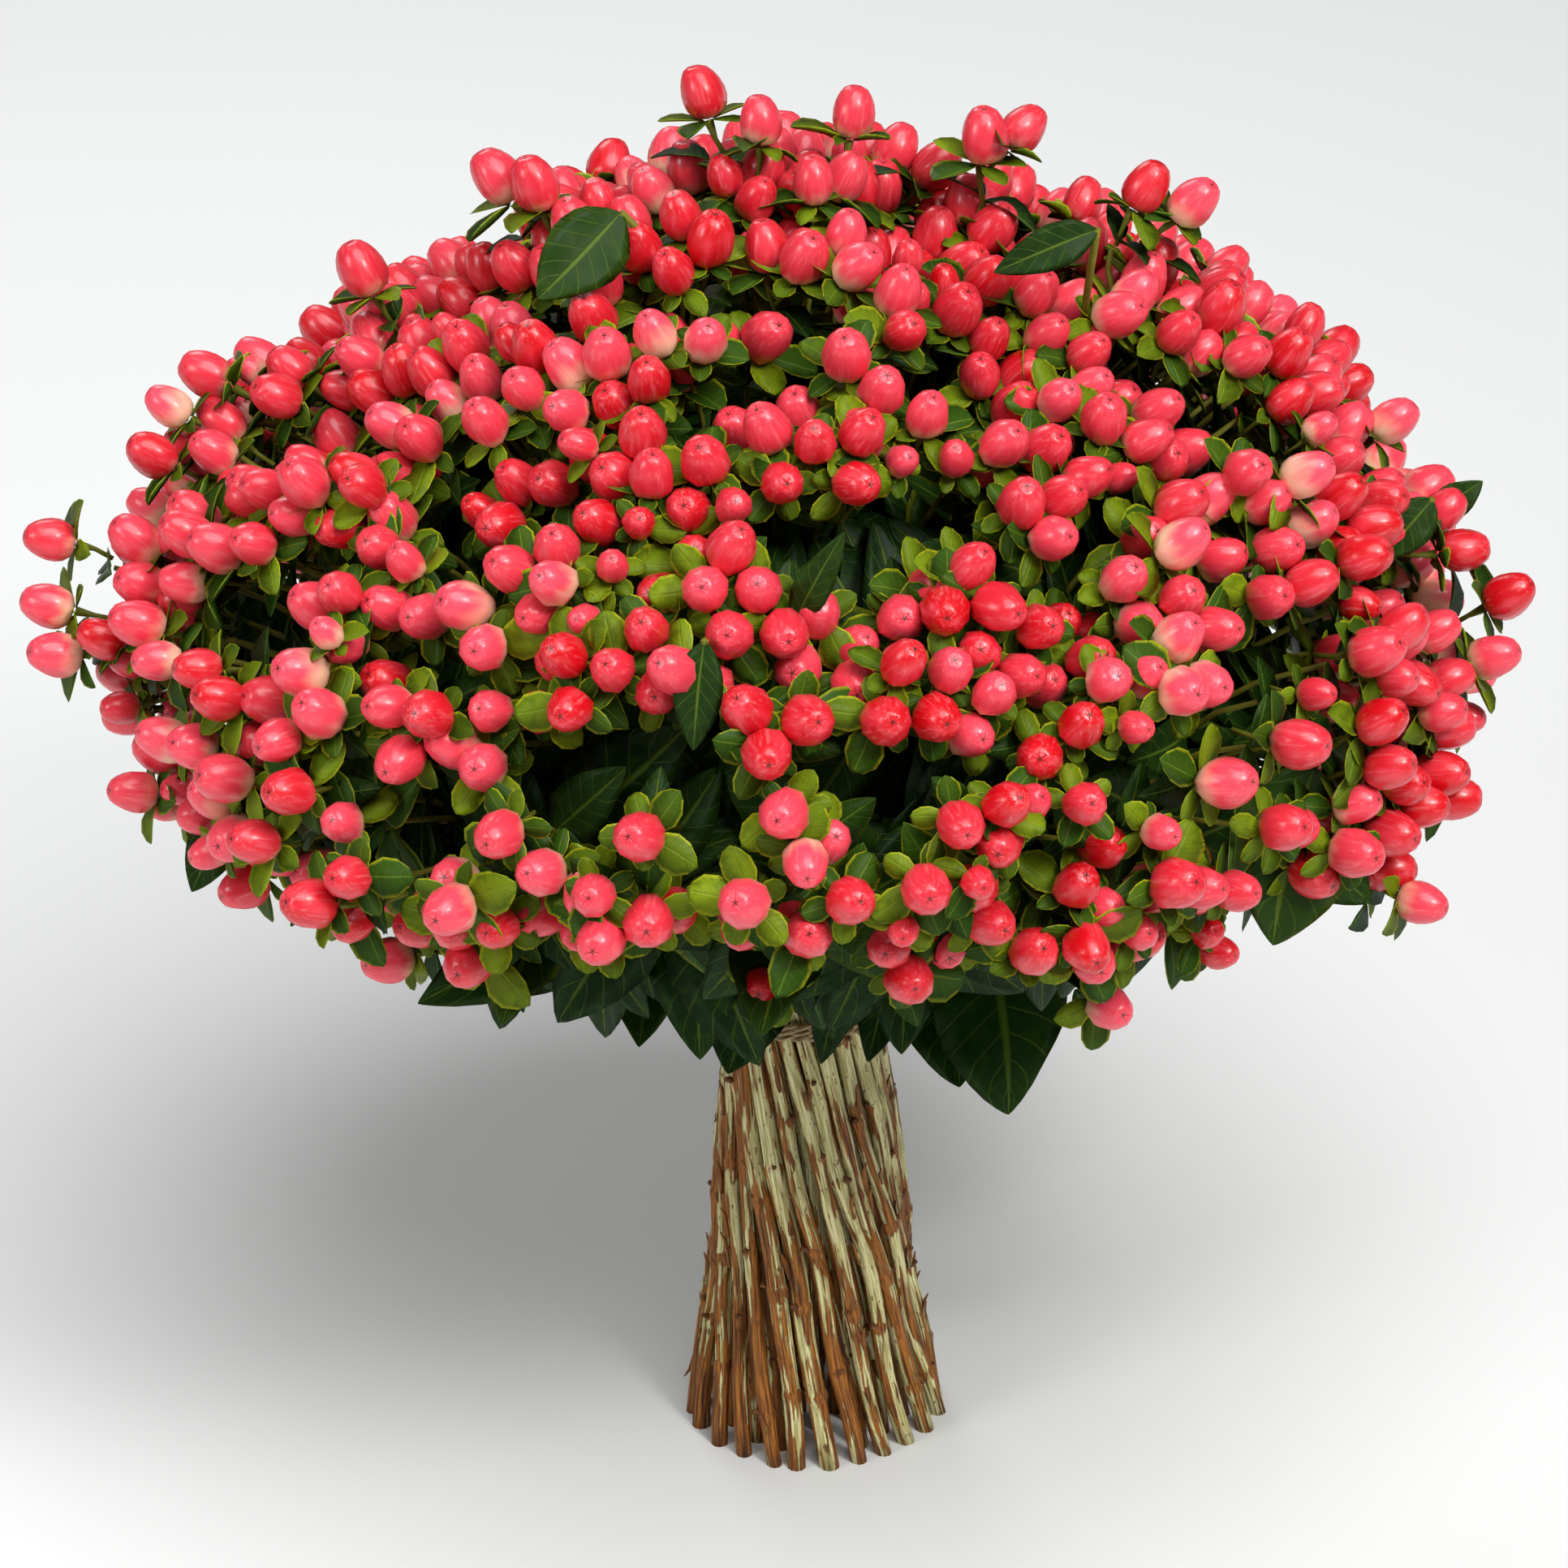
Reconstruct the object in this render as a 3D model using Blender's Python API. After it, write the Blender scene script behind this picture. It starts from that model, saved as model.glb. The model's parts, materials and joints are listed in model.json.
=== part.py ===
"""A hand-tied bunch of hypericum berry stems, standing on its cut ends.

Metres, +Z up. The origin is on the surface that the bunch stands on, under the middle of its bounding box.
Each leafy stem is one solid: a woody stem that spirals through the tie, a leafy clump in its own cell of the
head, and the berries and leaves that stand out of it. The tie is a ring of its own round the waist.
"""

import math
import random

import bmesh
import bpy
from mathutils import Vector

MM = 0.001

# Where the centre stem's cut end stands. The bunch leans a little to the left, most at the middle of the head
FOOT = Vector((9 * MM, -1.5 * MM, 0))
WAIST_LEAN = -4.5 * MM
HEAD_LEAN = -19 * MM
CROWN_RETURN = 22.5 * MM

# Stems, ring by ring from the middle of the bundle outwards
RING_COUNTS = (1, 5, 10, 16, 25)
RING_PITCH = 5.5 * MM
STEM_RADIUS = 2.5 * MM
STEM_TOP_RADIUS = 1.9 * MM
STEM_SIDES = 5
WAIST_HEIGHT = 150 * MM
FOOT_SPREAD = 1.68
TWIST_SIGN = -1
HEAD_TWIST = math.radians(25)
OUTER_RING = len(RING_COUNTS) - 1

# The head's outline through the berry tips, from the crown over the rim to its lower edge
HEAD_RADIUS = 200 * MM
RIM_HEIGHT = 270 * MM
CROWN_RISE = 141 * MM
RIM_DROP = 42 * MM
CROWN_POWER = 1.68
RIM_POWER = 2.3
LOWEST_ANGLE = math.radians(125)
HUB_HEIGHT = 215 * MM
OUTLINE_STEPS = 240

# The leafy clump of each stem
CLUMP_DEPTH = 9 * MM
CLUMP_SHOULDER = 4 * MM
CLUMP_ROUGHNESS = 2 * MM
CLUMP_INNER_SHARE = 0.56
CLUMP_GAP = 0.9 * MM
CLUMP_SIDE_GAP = 0.45 * MM
CLUMP_SIDES = 7
CLUMP_GRID = (2, 2)
OUTER_CLUMP_GRID = (3, 2)

# Berries
BERRIES_PER_STEM = 4
BERRY_LENGTH = 15 * MM
BERRY_RADIUS = 6.3 * MM
BERRY_SIDES = 5
BERRY_ROOT = 9 * MM
BERRY_MARGIN = 10 * MM
BERRY_LIFT = 0.3
BERRY_TILT = 0.3
PEDICEL_RADIUS = 1.2 * MM
TIP_BERRY_EVERY = 9
TIP_BERRY_REACH = 13 * MM

# Leaves
BRACTS_PER_STEM = 1
BRACT_LENGTH = 30 * MM
BRACT_WIDTH = 14 * MM
BRACT_ROOT = 21 * MM
BRACT_SPREAD = 0.6
BIG_LEAF_LENGTH = 56 * MM
BIG_LEAF_WIDTH = 31 * MM
NECK_LEAF_FALL = (1.0, -1.05)
RIM_LEAF_FALL = (1.0, -0.08)
RIM_LEAF_ROOT = 0.66
LEAF_THICKNESS = 0.9 * MM
LEAF_FOLD = 0.12
LEAF_ROWS = ((0.0, 0.0), (0.34, 1.0), (0.7, 0.74), (1.0, 0.0))

# The tie, wound just under the waist
TIE_DROP = 5 * MM
TIE_GAP = 0.3 * MM
TWINE_THICKNESS = 2.6 * MM
TWINE_TURNS = 3

FLAT_ANGLE = math.radians(0.3)
SEED = 1234
PLASTIC = (math.sqrt(5) - 1) / 2
R2_STEPS = (0.7548776662466927, 0.5698402909980532)

BARK, LEAF, BERRY, TWINE = range(4)
FINISHES = (
    ("bark", (0.36, 0.21, 0.10), 0.75),
    ("leaf", (0.06, 0.15, 0.035), 0.5),
    ("berry", (0.78, 0.07, 0.11), 0.28),
    ("twine", (0.45, 0.32, 0.17), 0.9),
)


def clear_scene():
    for obj in list(bpy.data.objects):
        bpy.data.objects.remove(obj, do_unlink=True)


def make_material(name, colour, roughness):
    material = bpy.data.materials.new(name)
    material.use_nodes = True
    shader = material.node_tree.nodes["Principled BSDF"]
    shader.inputs["Base Color"].default_value = (*colour, 1)
    shader.inputs["Roughness"].default_value = roughness
    material.diffuse_color = (*colour, 1)
    return material


# The head's outline as a curve measured by its arc length


def outline_by_angle(angle):
    """(radius, height) of the outline at an angle from the crown: two superellipses that meet at the rim."""
    rise, power = (CROWN_RISE, CROWN_POWER) if angle < math.pi / 2 else (-RIM_DROP, RIM_POWER)
    radius = HEAD_RADIUS * math.sin(angle) ** (2 / power)
    return Vector((radius, RIM_HEIGHT + rise * abs(math.cos(angle)) ** (2 / power)))


def measured_outline():
    """Arc length, swept area and point for even steps of angle."""
    points = [outline_by_angle(LOWEST_ANGLE * i / OUTLINE_STEPS) for i in range(OUTLINE_STEPS + 1)]
    rows = [(0.0, 0.0, points[0])]
    for before, point in zip(points, points[1:]):
        arc, area, _ = rows[-1]
        step = (point - before).length
        rows.append((arc + step, area + step * math.pi * (before.x + point.x), point))
    return rows


OUTLINE = measured_outline()
OUTLINE_ARC = OUTLINE[-1][0]
OUTLINE_AREA = OUTLINE[-1][1]


def outline_at(arc):
    """(radius, height) of the outline at an arc length from the crown."""
    arc = min(max(arc, 0.0), OUTLINE_ARC)
    for before, after in zip(OUTLINE, OUTLINE[1:]):
        if arc <= after[0]:
            share = (arc - before[0]) / (after[0] - before[0])
            return before[2].lerp(after[2], share)
    return OUTLINE[-1][2].copy()


def arc_holding_area(area):
    for row in OUTLINE:
        if row[1] >= area:
            return row[0]
    return OUTLINE_ARC


def ring_edges():
    """Arc lengths that share the head's surface among the rings by their count of stems."""
    edges = [0.0]
    total = sum(RING_COUNTS)
    for ring in range(len(RING_COUNTS)):
        share = sum(RING_COUNTS[: ring + 1]) / total
        edges.append(arc_holding_area(share * OUTLINE_AREA))
    return edges


RING_EDGES = ring_edges()


def lean_at(height):
    """How far the bunch's axis has moved sideways at a height."""
    if height < WAIST_HEIGHT:
        return WAIST_LEAN * height / WAIST_HEIGHT
    share = (height - WAIST_HEIGHT) / (RIM_HEIGHT + CROWN_RISE - WAIST_HEIGHT)
    return WAIST_LEAN + HEAD_LEAN * share + CROWN_RETURN * share**2


def turned(flat, azimuth):
    """A (radius, height) direction turned to an azimuth."""
    return Vector((flat[0] * math.cos(azimuth), flat[0] * math.sin(azimuth), flat[1]))


def in_space(flat, azimuth):
    """A (radius, height) place turned to an azimuth about the leaning axis."""
    return turned(flat, azimuth) + Vector((lean_at(flat[1]), 0, 0)) + FOOT


def under_outline(arc, azimuth, depth):
    """The point a depth below the outline, straight towards the hub inside the head."""
    flat = outline_at(arc)
    inward = Vector((0, HUB_HEIGHT)) - flat
    return in_space(flat + inward.normalized() * depth, azimuth)


class Cell:
    """The patch of the head's outline that one stem fills."""

    def __init__(self, ring, azimuth):
        self.ring = ring
        self.arc_low, self.arc_high = RING_EDGES[ring : ring + 2]
        self.half_turn = math.pi / RING_COUNTS[ring]
        self.azimuth = azimuth

    def middle_arc(self):
        return 0.0 if self.ring == 0 else (self.arc_low + self.arc_high) / 2

    def site(self, along, across, margin):
        """Arc length and azimuth of a place in the cell; along and across run from -1 to 1."""
        if self.ring == 0:
            reach = (self.arc_high - 1.4 * margin) * math.sqrt(abs(along))
            return reach, math.pi * across
        half = (self.arc_high - self.arc_low) / 2 - margin
        arc = self.middle_arc() + along * half
        room = self.half_turn - margin / outline_at(arc).x
        return arc, self.azimuth + across * room


# Closed meshes for the pieces of a stem


def add_ring(mesh, centre, across, up, radius, sides):
    step = 2 * math.pi / sides
    return [
        mesh.verts.new(centre + radius * (math.cos(i * step) * across + math.sin(i * step) * up))
        for i in range(sides)
    ]


def join_rings(mesh, low, high, slot):
    for i in range(len(low)):
        j = (i + 1) % len(low)
        mesh.faces.new((low[i], low[j], high[j], high[i])).material_index = slot


def frame_along(direction):
    """Two unit vectors across a direction."""
    direction = direction.normalized()
    helper = Vector((0, 0, 1)) if abs(direction.z) < 0.9 else Vector((1, 0, 0))
    across = direction.cross(helper).normalized()
    return across, direction.cross(across)


def stem_path(ring, azimuth, cell):
    """Centres of the stem's rings, from the cut end through the waist to the middle of its clump."""
    pull = math.sqrt(FOOT_SPREAD**2 - 1) / WAIST_HEIGHT
    waist = ring * RING_PITCH
    points = []
    for share in (0.0, 0.5, 1.0) if ring == OUTER_RING else (0.0, 1.0):
        height = WAIST_HEIGHT * share
        below = pull * (height - WAIST_HEIGHT)
        radius = waist * math.sqrt(1 + below**2)
        points.append(in_space(Vector((radius, height)), azimuth + TWIST_SIGN * math.atan(below)))
    rise = 2 * HEAD_TWIST / (3 * pull)
    flat_end = outline_at(cell.middle_arc())
    hub = Vector((0, HUB_HEIGHT))
    outward = (flat_end - hub).normalized()
    end = hub + (flat_end - hub) * (CLUMP_INNER_SHARE + 0.12)
    start = Vector((waist, WAIST_HEIGHT))
    handles = (start, start + Vector((0.04 * rise * ring, rise)), end - outward * 45 * MM, end)
    steps = 5 if ring == OUTER_RING else 3
    for step in range(1, steps + 1):
        t = step / steps
        weights = ((1 - t) ** 3, 3 * t * (1 - t) ** 2, 3 * t * t * (1 - t), t**3)
        flat = sum((w * h for w, h in zip(weights, handles)), Vector((0, 0)))
        turn = HEAD_TWIST * (1 - (1 - t) ** 2)
        points.append(in_space(flat, azimuth + TWIST_SIGN * turn))
    return points


def add_stem(mesh, points, sides):
    """A tapering woody tube. Its first ring lies flat on the surface, as it was cut."""
    rings = []
    across = Vector((1, 0, 0))
    for i, point in enumerate(points):
        direction = (points[min(i + 1, len(points) - 1)] - points[max(i - 1, 0)]).normalized()
        across = (across - direction * across.dot(direction)).normalized()
        up = direction.cross(across)
        share = max(0.0, point.z - WAIST_HEIGHT) / (HUB_HEIGHT - WAIST_HEIGHT)
        radius = STEM_RADIUS + (STEM_TOP_RADIUS - STEM_RADIUS) * min(share, 1.0)
        rings.append(add_ring(mesh, point, across, up, radius, sides))
        if i == 0:
            for vertex in rings[0]:
                vertex.co -= direction * (vertex.co.z / direction.z)
                vertex.co.z = 0.0
    for low, high in zip(rings, rings[1:]):
        join_rings(mesh, low, high, BARK)
    mesh.faces.new(reversed(rings[0])).material_index = BARK
    mesh.faces.new(rings[-1]).material_index = BARK


def add_cap_clump(mesh, cell):
    """The centre stem's clump: a round plug under the crown."""
    hub = Vector((0, HUB_HEIGHT))
    out = outline_at(cell.arc_high - 2 * CLUMP_GAP) - hub
    out -= out.normalized() * (CLUMP_DEPTH + CLUMP_SHOULDER)
    turns = [2 * math.pi * i / CLUMP_SIDES for i in range(CLUMP_SIDES)]
    high, low = (
        [mesh.verts.new(in_space(hub + out * share, turn)) for turn in turns]
        for share in (1.0, CLUMP_INNER_SHARE)
    )
    top = mesh.verts.new(under_outline(0, 0, CLUMP_DEPTH))
    join_rings(mesh, low, high, LEAF)
    for i in range(CLUMP_SIDES):
        mesh.faces.new((high[i], high[(i + 1) % CLUMP_SIDES], top)).material_index = LEAF
    mesh.faces.new(reversed(low)).material_index = LEAF


def add_clump(mesh, cell, draw):
    """The dense foliage inside a cell, as one closed block that the berries and leaves stand out of."""
    rows, columns = OUTER_CLUMP_GRID if cell.ring == OUTER_RING else CLUMP_GRID
    hub = Vector((0, HUB_HEIGHT))

    def corner(row, column, share, rough):
        arc = cell.arc_low + CLUMP_GAP + (cell.arc_high - cell.arc_low - 2 * CLUMP_GAP) * row / rows
        out = outline_at(arc) - hub
        shoulder = CLUMP_SHOULDER * ((row in (0, rows)) + (column in (0, columns)))
        spot = hub + out.normalized() * ((out.length - CLUMP_DEPTH - shoulder) * share - rough)
        turn = (2 * column / columns - 1) * (cell.half_turn - CLUMP_SIDE_GAP / spot.x)
        return mesh.verts.new(in_space(spot, cell.azimuth + turn))

    outer = [
        [corner(row, column, 1.0, draw.uniform(0, CLUMP_ROUGHNESS)) for column in range(columns + 1)]
        for row in range(rows + 1)
    ]
    inner = [[corner(row, i, CLUMP_INNER_SHARE, 0) for i in range(columns + 1)] for row in (0, rows)]
    for above, below in zip(outer, outer[1:]):
        for i in range(columns):
            mesh.faces.new((above[i], below[i], below[i + 1], above[i + 1]))
    for i in range(columns):
        mesh.faces.new((inner[0][i], inner[0][i + 1], inner[1][i + 1], inner[1][i]))
        mesh.faces.new((outer[0][i], outer[0][i + 1], inner[0][i + 1], inner[0][i]))
        mesh.faces.new((outer[-1][i + 1], outer[-1][i], inner[1][i], inner[1][i + 1]))
    mesh.faces.new((*(line[0] for line in reversed(outer)), inner[0][0], inner[1][0]))
    mesh.faces.new((*(line[-1] for line in outer), inner[1][-1], inner[0][-1]))
    for face in mesh.faces:
        face.material_index = LEAF


def add_berry(mesh, foot, root, growth, stalked):
    """A five-sided ovoid berry that grows from its foot. Its root, or its pedicel, is sunk into the clump."""
    across, up = frame_along(growth)
    tip = foot + growth * BERRY_LENGTH
    rings = [
        add_ring(mesh, tip - growth * BERRY_LENGTH * share, across, up, BERRY_RADIUS * width, BERRY_SIDES)
        for share, width in ((0.25, 0.80), (0.64, 1.0))
    ]
    top = mesh.verts.new(tip)
    if stalked:
        rings.append(add_ring(mesh, foot - growth * MM, across, up, PEDICEL_RADIUS, BERRY_SIDES))
    end = mesh.verts.new(root)
    for high, low in zip(rings, rings[1:]):
        join_rings(mesh, low, high, BERRY)
    for i in range(BERRY_SIDES):
        j = (i + 1) % BERRY_SIDES
        mesh.faces.new((rings[0][i], rings[0][j], top)).material_index = BERRY
        mesh.faces.new((rings[-1][j], rings[-1][i], end)).material_index = BERRY


def add_leaf(mesh, root, direction, facing, length, width, droop, folded):
    """A pointed blade bent downwards and, when folded, creased along its rib. It is a thin solid."""
    direction = direction.normalized()
    side = direction.cross(facing).normalized()
    facing = side.cross(direction)
    skins = []
    for lift in (0.5, -0.5):
        lines = []
        for along, spread in LEAF_ROWS:
            rib = root + direction * length * along - facing * droop * length * along**2
            rib = rib + facing * LEAF_THICKNESS * lift
            half = side * width / 2 * spread
            raised = facing * width * LEAF_FOLD * spread
            spots = [rib - half + raised, rib, rib + half + raised] if folded else [rib - half, rib + half]
            lines.append([mesh.verts.new(spot) for spot in (spots if spread else [rib])])
        skins.append(lines)
    for lines in skins:
        for low, high in zip(lines, lines[1:]):
            for i in range(max(len(low), len(high)) - 1):
                near = low[i : i + 2] if len(low) > 1 else low
                far = high[i : i + 2] if len(high) > 1 else high
                mesh.faces.new((*near, *reversed(far)))
    top, bottom = skins
    for end in (0, -1):
        for row in range(len(LEAF_ROWS) - 1):
            mesh.faces.new((top[row][end], top[row + 1][end], bottom[row + 1][end], bottom[row][end]))
    for face in mesh.faces:
        face.material_index = LEAF


# One object for each leafy stem


def object_from(mesh, name, materials, collection=None):
    bmesh.ops.recalc_face_normals(mesh, faces=mesh.faces)
    bmesh.ops.triangulate(mesh, faces=mesh.faces)
    data = bpy.data.meshes.new(name)
    mesh.to_mesh(data)
    mesh.free()
    for material in materials:
        data.materials.append(material)
    obj = bpy.data.objects.new(name, data)
    (collection or bpy.context.scene.collection).objects.link(obj)
    return obj


def fuse(base, pieces):
    """Joins the pieces of a collection to the base in one Boolean union, and removes them."""
    union = base.modifiers.new("union", "BOOLEAN")
    union.operand_type = "COLLECTION"
    union.collection = pieces
    union.operation = "UNION"
    union.solver = "MANIFOLD"
    graph = bpy.context.evaluated_depsgraph_get()
    joined = bpy.data.meshes.new_from_object(base.evaluated_get(graph))
    base.modifiers.clear()
    mesh = bmesh.new()
    mesh.from_mesh(joined)
    bmesh.ops.dissolve_limit(mesh, angle_limit=FLAT_ANGLE, verts=mesh.verts, edges=mesh.edges)
    bmesh.ops.triangulate(mesh, faces=mesh.faces)
    mesh.to_mesh(joined)
    mesh.free()
    base.data = joined
    for obj in list(pieces.objects):
        bpy.data.objects.remove(obj, do_unlink=True)
    bpy.data.collections.remove(pieces)


def sites_of(cell, count, draw):
    """Evenly spread places in a cell, as shares from -1 to 1 along it and across it."""
    start = [draw.random() for _ in R2_STEPS]
    return [
        [2 * ((s + (i + 1) * step) % 1) - 1 for s, step in zip(start, R2_STEPS)]
        for i in range(count)
    ]


def add_berries(mesh, cell, sites, number, draw):
    for i, (along, across) in enumerate(sites):
        arc, turn = cell.site(along, across, BERRY_MARGIN)
        foot = under_outline(arc, turn, BERRY_LENGTH)
        outward = (under_outline(arc, turn, 0.0) - foot).normalized()
        tilt = Vector([draw.uniform(-BERRY_TILT, BERRY_TILT) for _ in range(3)])
        growth = (outward + Vector((0, 0, BERRY_LIFT)) + tilt).normalized()
        root = foot - outward * BERRY_ROOT
        stalked = (number * BERRIES_PER_STEM + i) % TIP_BERRY_EVERY == 0
        if stalked:
            foot = foot + growth * TIP_BERRY_REACH
        add_berry(mesh, foot, root, growth, stalked)


def add_bract(mesh, cell, along, across, draw):
    """A small leaf among the berries, rooted in the clump near the middle of its cell."""
    arc, turn = cell.site(along * 0.5, across * 0.4, BERRY_MARGIN)
    root = under_outline(arc, turn, BRACT_ROOT)
    outward = (under_outline(arc, turn, 0.0) - root).normalized()
    side, up = frame_along(outward)
    way = draw.uniform(0, 2 * math.pi)
    direction = outward + BRACT_SPREAD * (side * math.cos(way) + up * math.sin(way))
    add_leaf(mesh, root, direction, outward, BRACT_LENGTH, BRACT_WIDTH, 0.2, False)


def add_big_leaf(mesh, number, azimuth, points, cell):
    """A large leaf of an outer stem. In turn they hang at the neck and lie under the rim of the head."""
    if number % 2 == 0:
        root = points[4].lerp(points[5], 0.5)
        out = turned(NECK_LEAF_FALL, azimuth + TWIST_SIGN * HEAD_TWIST * 0.75)
    else:
        lowest = outline_at(cell.arc_high - 10 * MM)
        hub = Vector((0, HUB_HEIGHT))
        root = in_space(hub + (lowest - hub) * RIM_LEAF_ROOT, cell.azimuth)
        out = turned(RIM_LEAF_FALL, cell.azimuth)
    add_leaf(mesh, root, out, Vector((0, 0, 1)), BIG_LEAF_LENGTH, BIG_LEAF_WIDTH, 0.12, True)


def build_stem(number, ring, azimuth, materials):
    draw = random.Random(SEED + number)
    cell = Cell(ring, azimuth + TWIST_SIGN * HEAD_TWIST)
    pieces = bpy.data.collections.new(f"pieces_{number:02d}")
    bpy.context.scene.collection.children.link(pieces)
    points = stem_path(ring, azimuth, cell)

    mesh = bmesh.new()
    add_stem(mesh, points, STEM_SIDES)
    stem = object_from(mesh, f"stem_{number:02d}", materials)

    mesh = bmesh.new()
    if ring == 0:
        add_cap_clump(mesh, cell)
    else:
        add_clump(mesh, cell, draw)
    object_from(mesh, "clump", materials, pieces)

    sites = sites_of(cell, BERRIES_PER_STEM + BRACTS_PER_STEM, draw)
    mesh = bmesh.new()
    add_berries(mesh, cell, sites[:BERRIES_PER_STEM], number, draw)
    object_from(mesh, "berries", materials, pieces)

    for along, across in sites[BERRIES_PER_STEM:]:
        mesh = bmesh.new()
        add_bract(mesh, cell, along, across, draw)
        object_from(mesh, "bract", materials, pieces)

    if ring == OUTER_RING:
        mesh = bmesh.new()
        add_big_leaf(mesh, number, azimuth, points, cell)
        object_from(mesh, "big_leaf", materials, pieces)

    fuse(stem, pieces)
    return stem


def build_stems(materials):
    number = 0
    for ring, count in enumerate(RING_COUNTS):
        for place in range(count):
            number += 1
            azimuth = 2 * math.pi * (place + PLASTIC * ring) / count
            build_stem(number, ring, azimuth, materials)


def build_tie(materials):
    """Turns of twine as one ribbed ring. It has a side facing each stem of the outer ring."""
    sides = RING_COUNTS[OUTER_RING]
    inner = OUTER_RING * RING_PITCH + STEM_RADIUS + TIE_GAP
    middle = WAIST_HEIGHT - TIE_DROP
    bottom = middle - TWINE_THICKNESS * TWINE_TURNS / 2
    profile = [(inner, bottom)]
    for turn in range(TWINE_TURNS):
        low = bottom + turn * TWINE_THICKNESS
        if turn:
            profile.append((inner + TWINE_THICKNESS * 0.6, low))
        profile.append((inner + TWINE_THICKNESS, low + TWINE_THICKNESS / 2))
    profile.append((inner, bottom + TWINE_THICKNESS * TWINE_TURNS))
    start = 2 * math.pi * (PLASTIC * OUTER_RING + 0.5) / sides
    stretch = 1 / math.cos(math.pi / sides)
    mesh = bmesh.new()
    loops = []
    for i in range(sides):
        turn = start + 2 * math.pi * i / sides
        loops.append([mesh.verts.new(in_space(Vector((r * stretch, z)), turn)) for r, z in profile])
    for i in range(sides):
        join_rings(mesh, loops[i], loops[(i + 1) % sides], TWINE)
    return object_from(mesh, "binding_tie", materials)


def main():
    clear_scene()
    materials = [make_material(*finish) for finish in FINISHES]
    build_stems(materials)
    build_tie(materials)


main()
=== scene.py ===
"""A hand-tied bunch of hypericum berry stems: the looks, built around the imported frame. Metres, +Z up."""

import json
import math
import random

import bmesh
import bpy
from mathutils import Matrix, Vector, kdtree, noise

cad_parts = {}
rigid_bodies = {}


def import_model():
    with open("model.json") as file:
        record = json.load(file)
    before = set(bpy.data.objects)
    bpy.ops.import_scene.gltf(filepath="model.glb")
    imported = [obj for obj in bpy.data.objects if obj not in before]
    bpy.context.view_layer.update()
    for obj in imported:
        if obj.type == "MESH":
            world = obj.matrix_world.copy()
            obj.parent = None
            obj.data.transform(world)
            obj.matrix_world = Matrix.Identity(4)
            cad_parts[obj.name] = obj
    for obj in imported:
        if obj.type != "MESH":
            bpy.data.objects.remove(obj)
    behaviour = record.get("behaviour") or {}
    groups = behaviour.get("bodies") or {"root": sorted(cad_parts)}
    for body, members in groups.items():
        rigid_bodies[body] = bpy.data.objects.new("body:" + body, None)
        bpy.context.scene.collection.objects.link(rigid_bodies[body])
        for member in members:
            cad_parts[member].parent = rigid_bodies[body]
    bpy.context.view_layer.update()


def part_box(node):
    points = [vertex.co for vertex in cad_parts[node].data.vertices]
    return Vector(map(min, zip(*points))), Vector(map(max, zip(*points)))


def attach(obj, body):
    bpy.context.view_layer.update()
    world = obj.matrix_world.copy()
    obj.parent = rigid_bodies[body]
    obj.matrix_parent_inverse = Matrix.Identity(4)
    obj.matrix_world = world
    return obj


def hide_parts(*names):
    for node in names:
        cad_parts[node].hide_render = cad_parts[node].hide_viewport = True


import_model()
MM = 0.001

# The studio: a plain pale floor, soft white light from all round and from above, and a camera that looks down at
# the head of the bunch from about 25 degrees, 1.5 m away.

PHOTO_SIZE = 1932
PHOTO_FOOT_X = 1012
FOCAL_PIXELS = 6450
SENSOR_WIDTH = 36.0
CAMERA_PLACE = Vector((0.009, -1.3595, 0.904))
CAMERA_FALL = math.radians(26.96)
FLOOR_SIDE = 14.0
FLOOR_COLOUR = (0.78, 0.795, 0.79)
WALL_COLOUR = (0.815, 0.831, 0.823)
AMBIENT = 0.14

lens = bpy.data.cameras.new("camera")
lens.sensor_width = SENSOR_WIDTH
lens.lens = FOCAL_PIXELS * SENSOR_WIDTH / PHOTO_SIZE
camera = bpy.data.objects.new("camera", lens)
camera.location = CAMERA_PLACE
left_turn = math.atan((PHOTO_FOOT_X - PHOTO_SIZE / 2) / FOCAL_PIXELS)
camera.rotation_euler = (math.pi / 2 - CAMERA_FALL, 0, left_turn)
bpy.context.scene.collection.objects.link(camera)
bpy.context.scene.camera = camera


def aim_light(light, name, place, target):
    lamp = bpy.data.objects.new(name, light)
    lamp.location = place
    lamp.rotation_euler = (Vector(target) - Vector(place)).to_track_quat("-Z", "Y").to_euler()
    bpy.context.scene.collection.objects.link(lamp)


def add_soft_box(name, place, target, side, power, tint):
    """A square soft box that faces a target."""
    light = bpy.data.lights.new(name, "AREA")
    light.shape = "SQUARE"
    light.size = side
    light.energy = power
    light.color = tint
    aim_light(light, name, place, target)


ceiling = bpy.data.lights.new("ceiling", "SUN")
ceiling.angle = math.radians(46)
ceiling.energy = 2.55
aim_light(ceiling, "ceiling", (0.3, -0.75, 1.6), (0, 0, 0))
add_soft_box("soft_box_right", (0.75, -0.95, 1.35), (0, 0, 0.28), 0.34, 12.0, (1.0, 0.985, 0.96))
add_soft_box("soft_box_left", (-1.1, -0.8, 0.95), (0, 0, 0.28), 0.45, 6.0, (0.98, 0.99, 1.0))
add_soft_box("soft_box_back", (-0.5, 1.2, 1.3), (0, 0, 0.3), 0.6, 6.0, (1.0, 1.0, 1.0))

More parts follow.
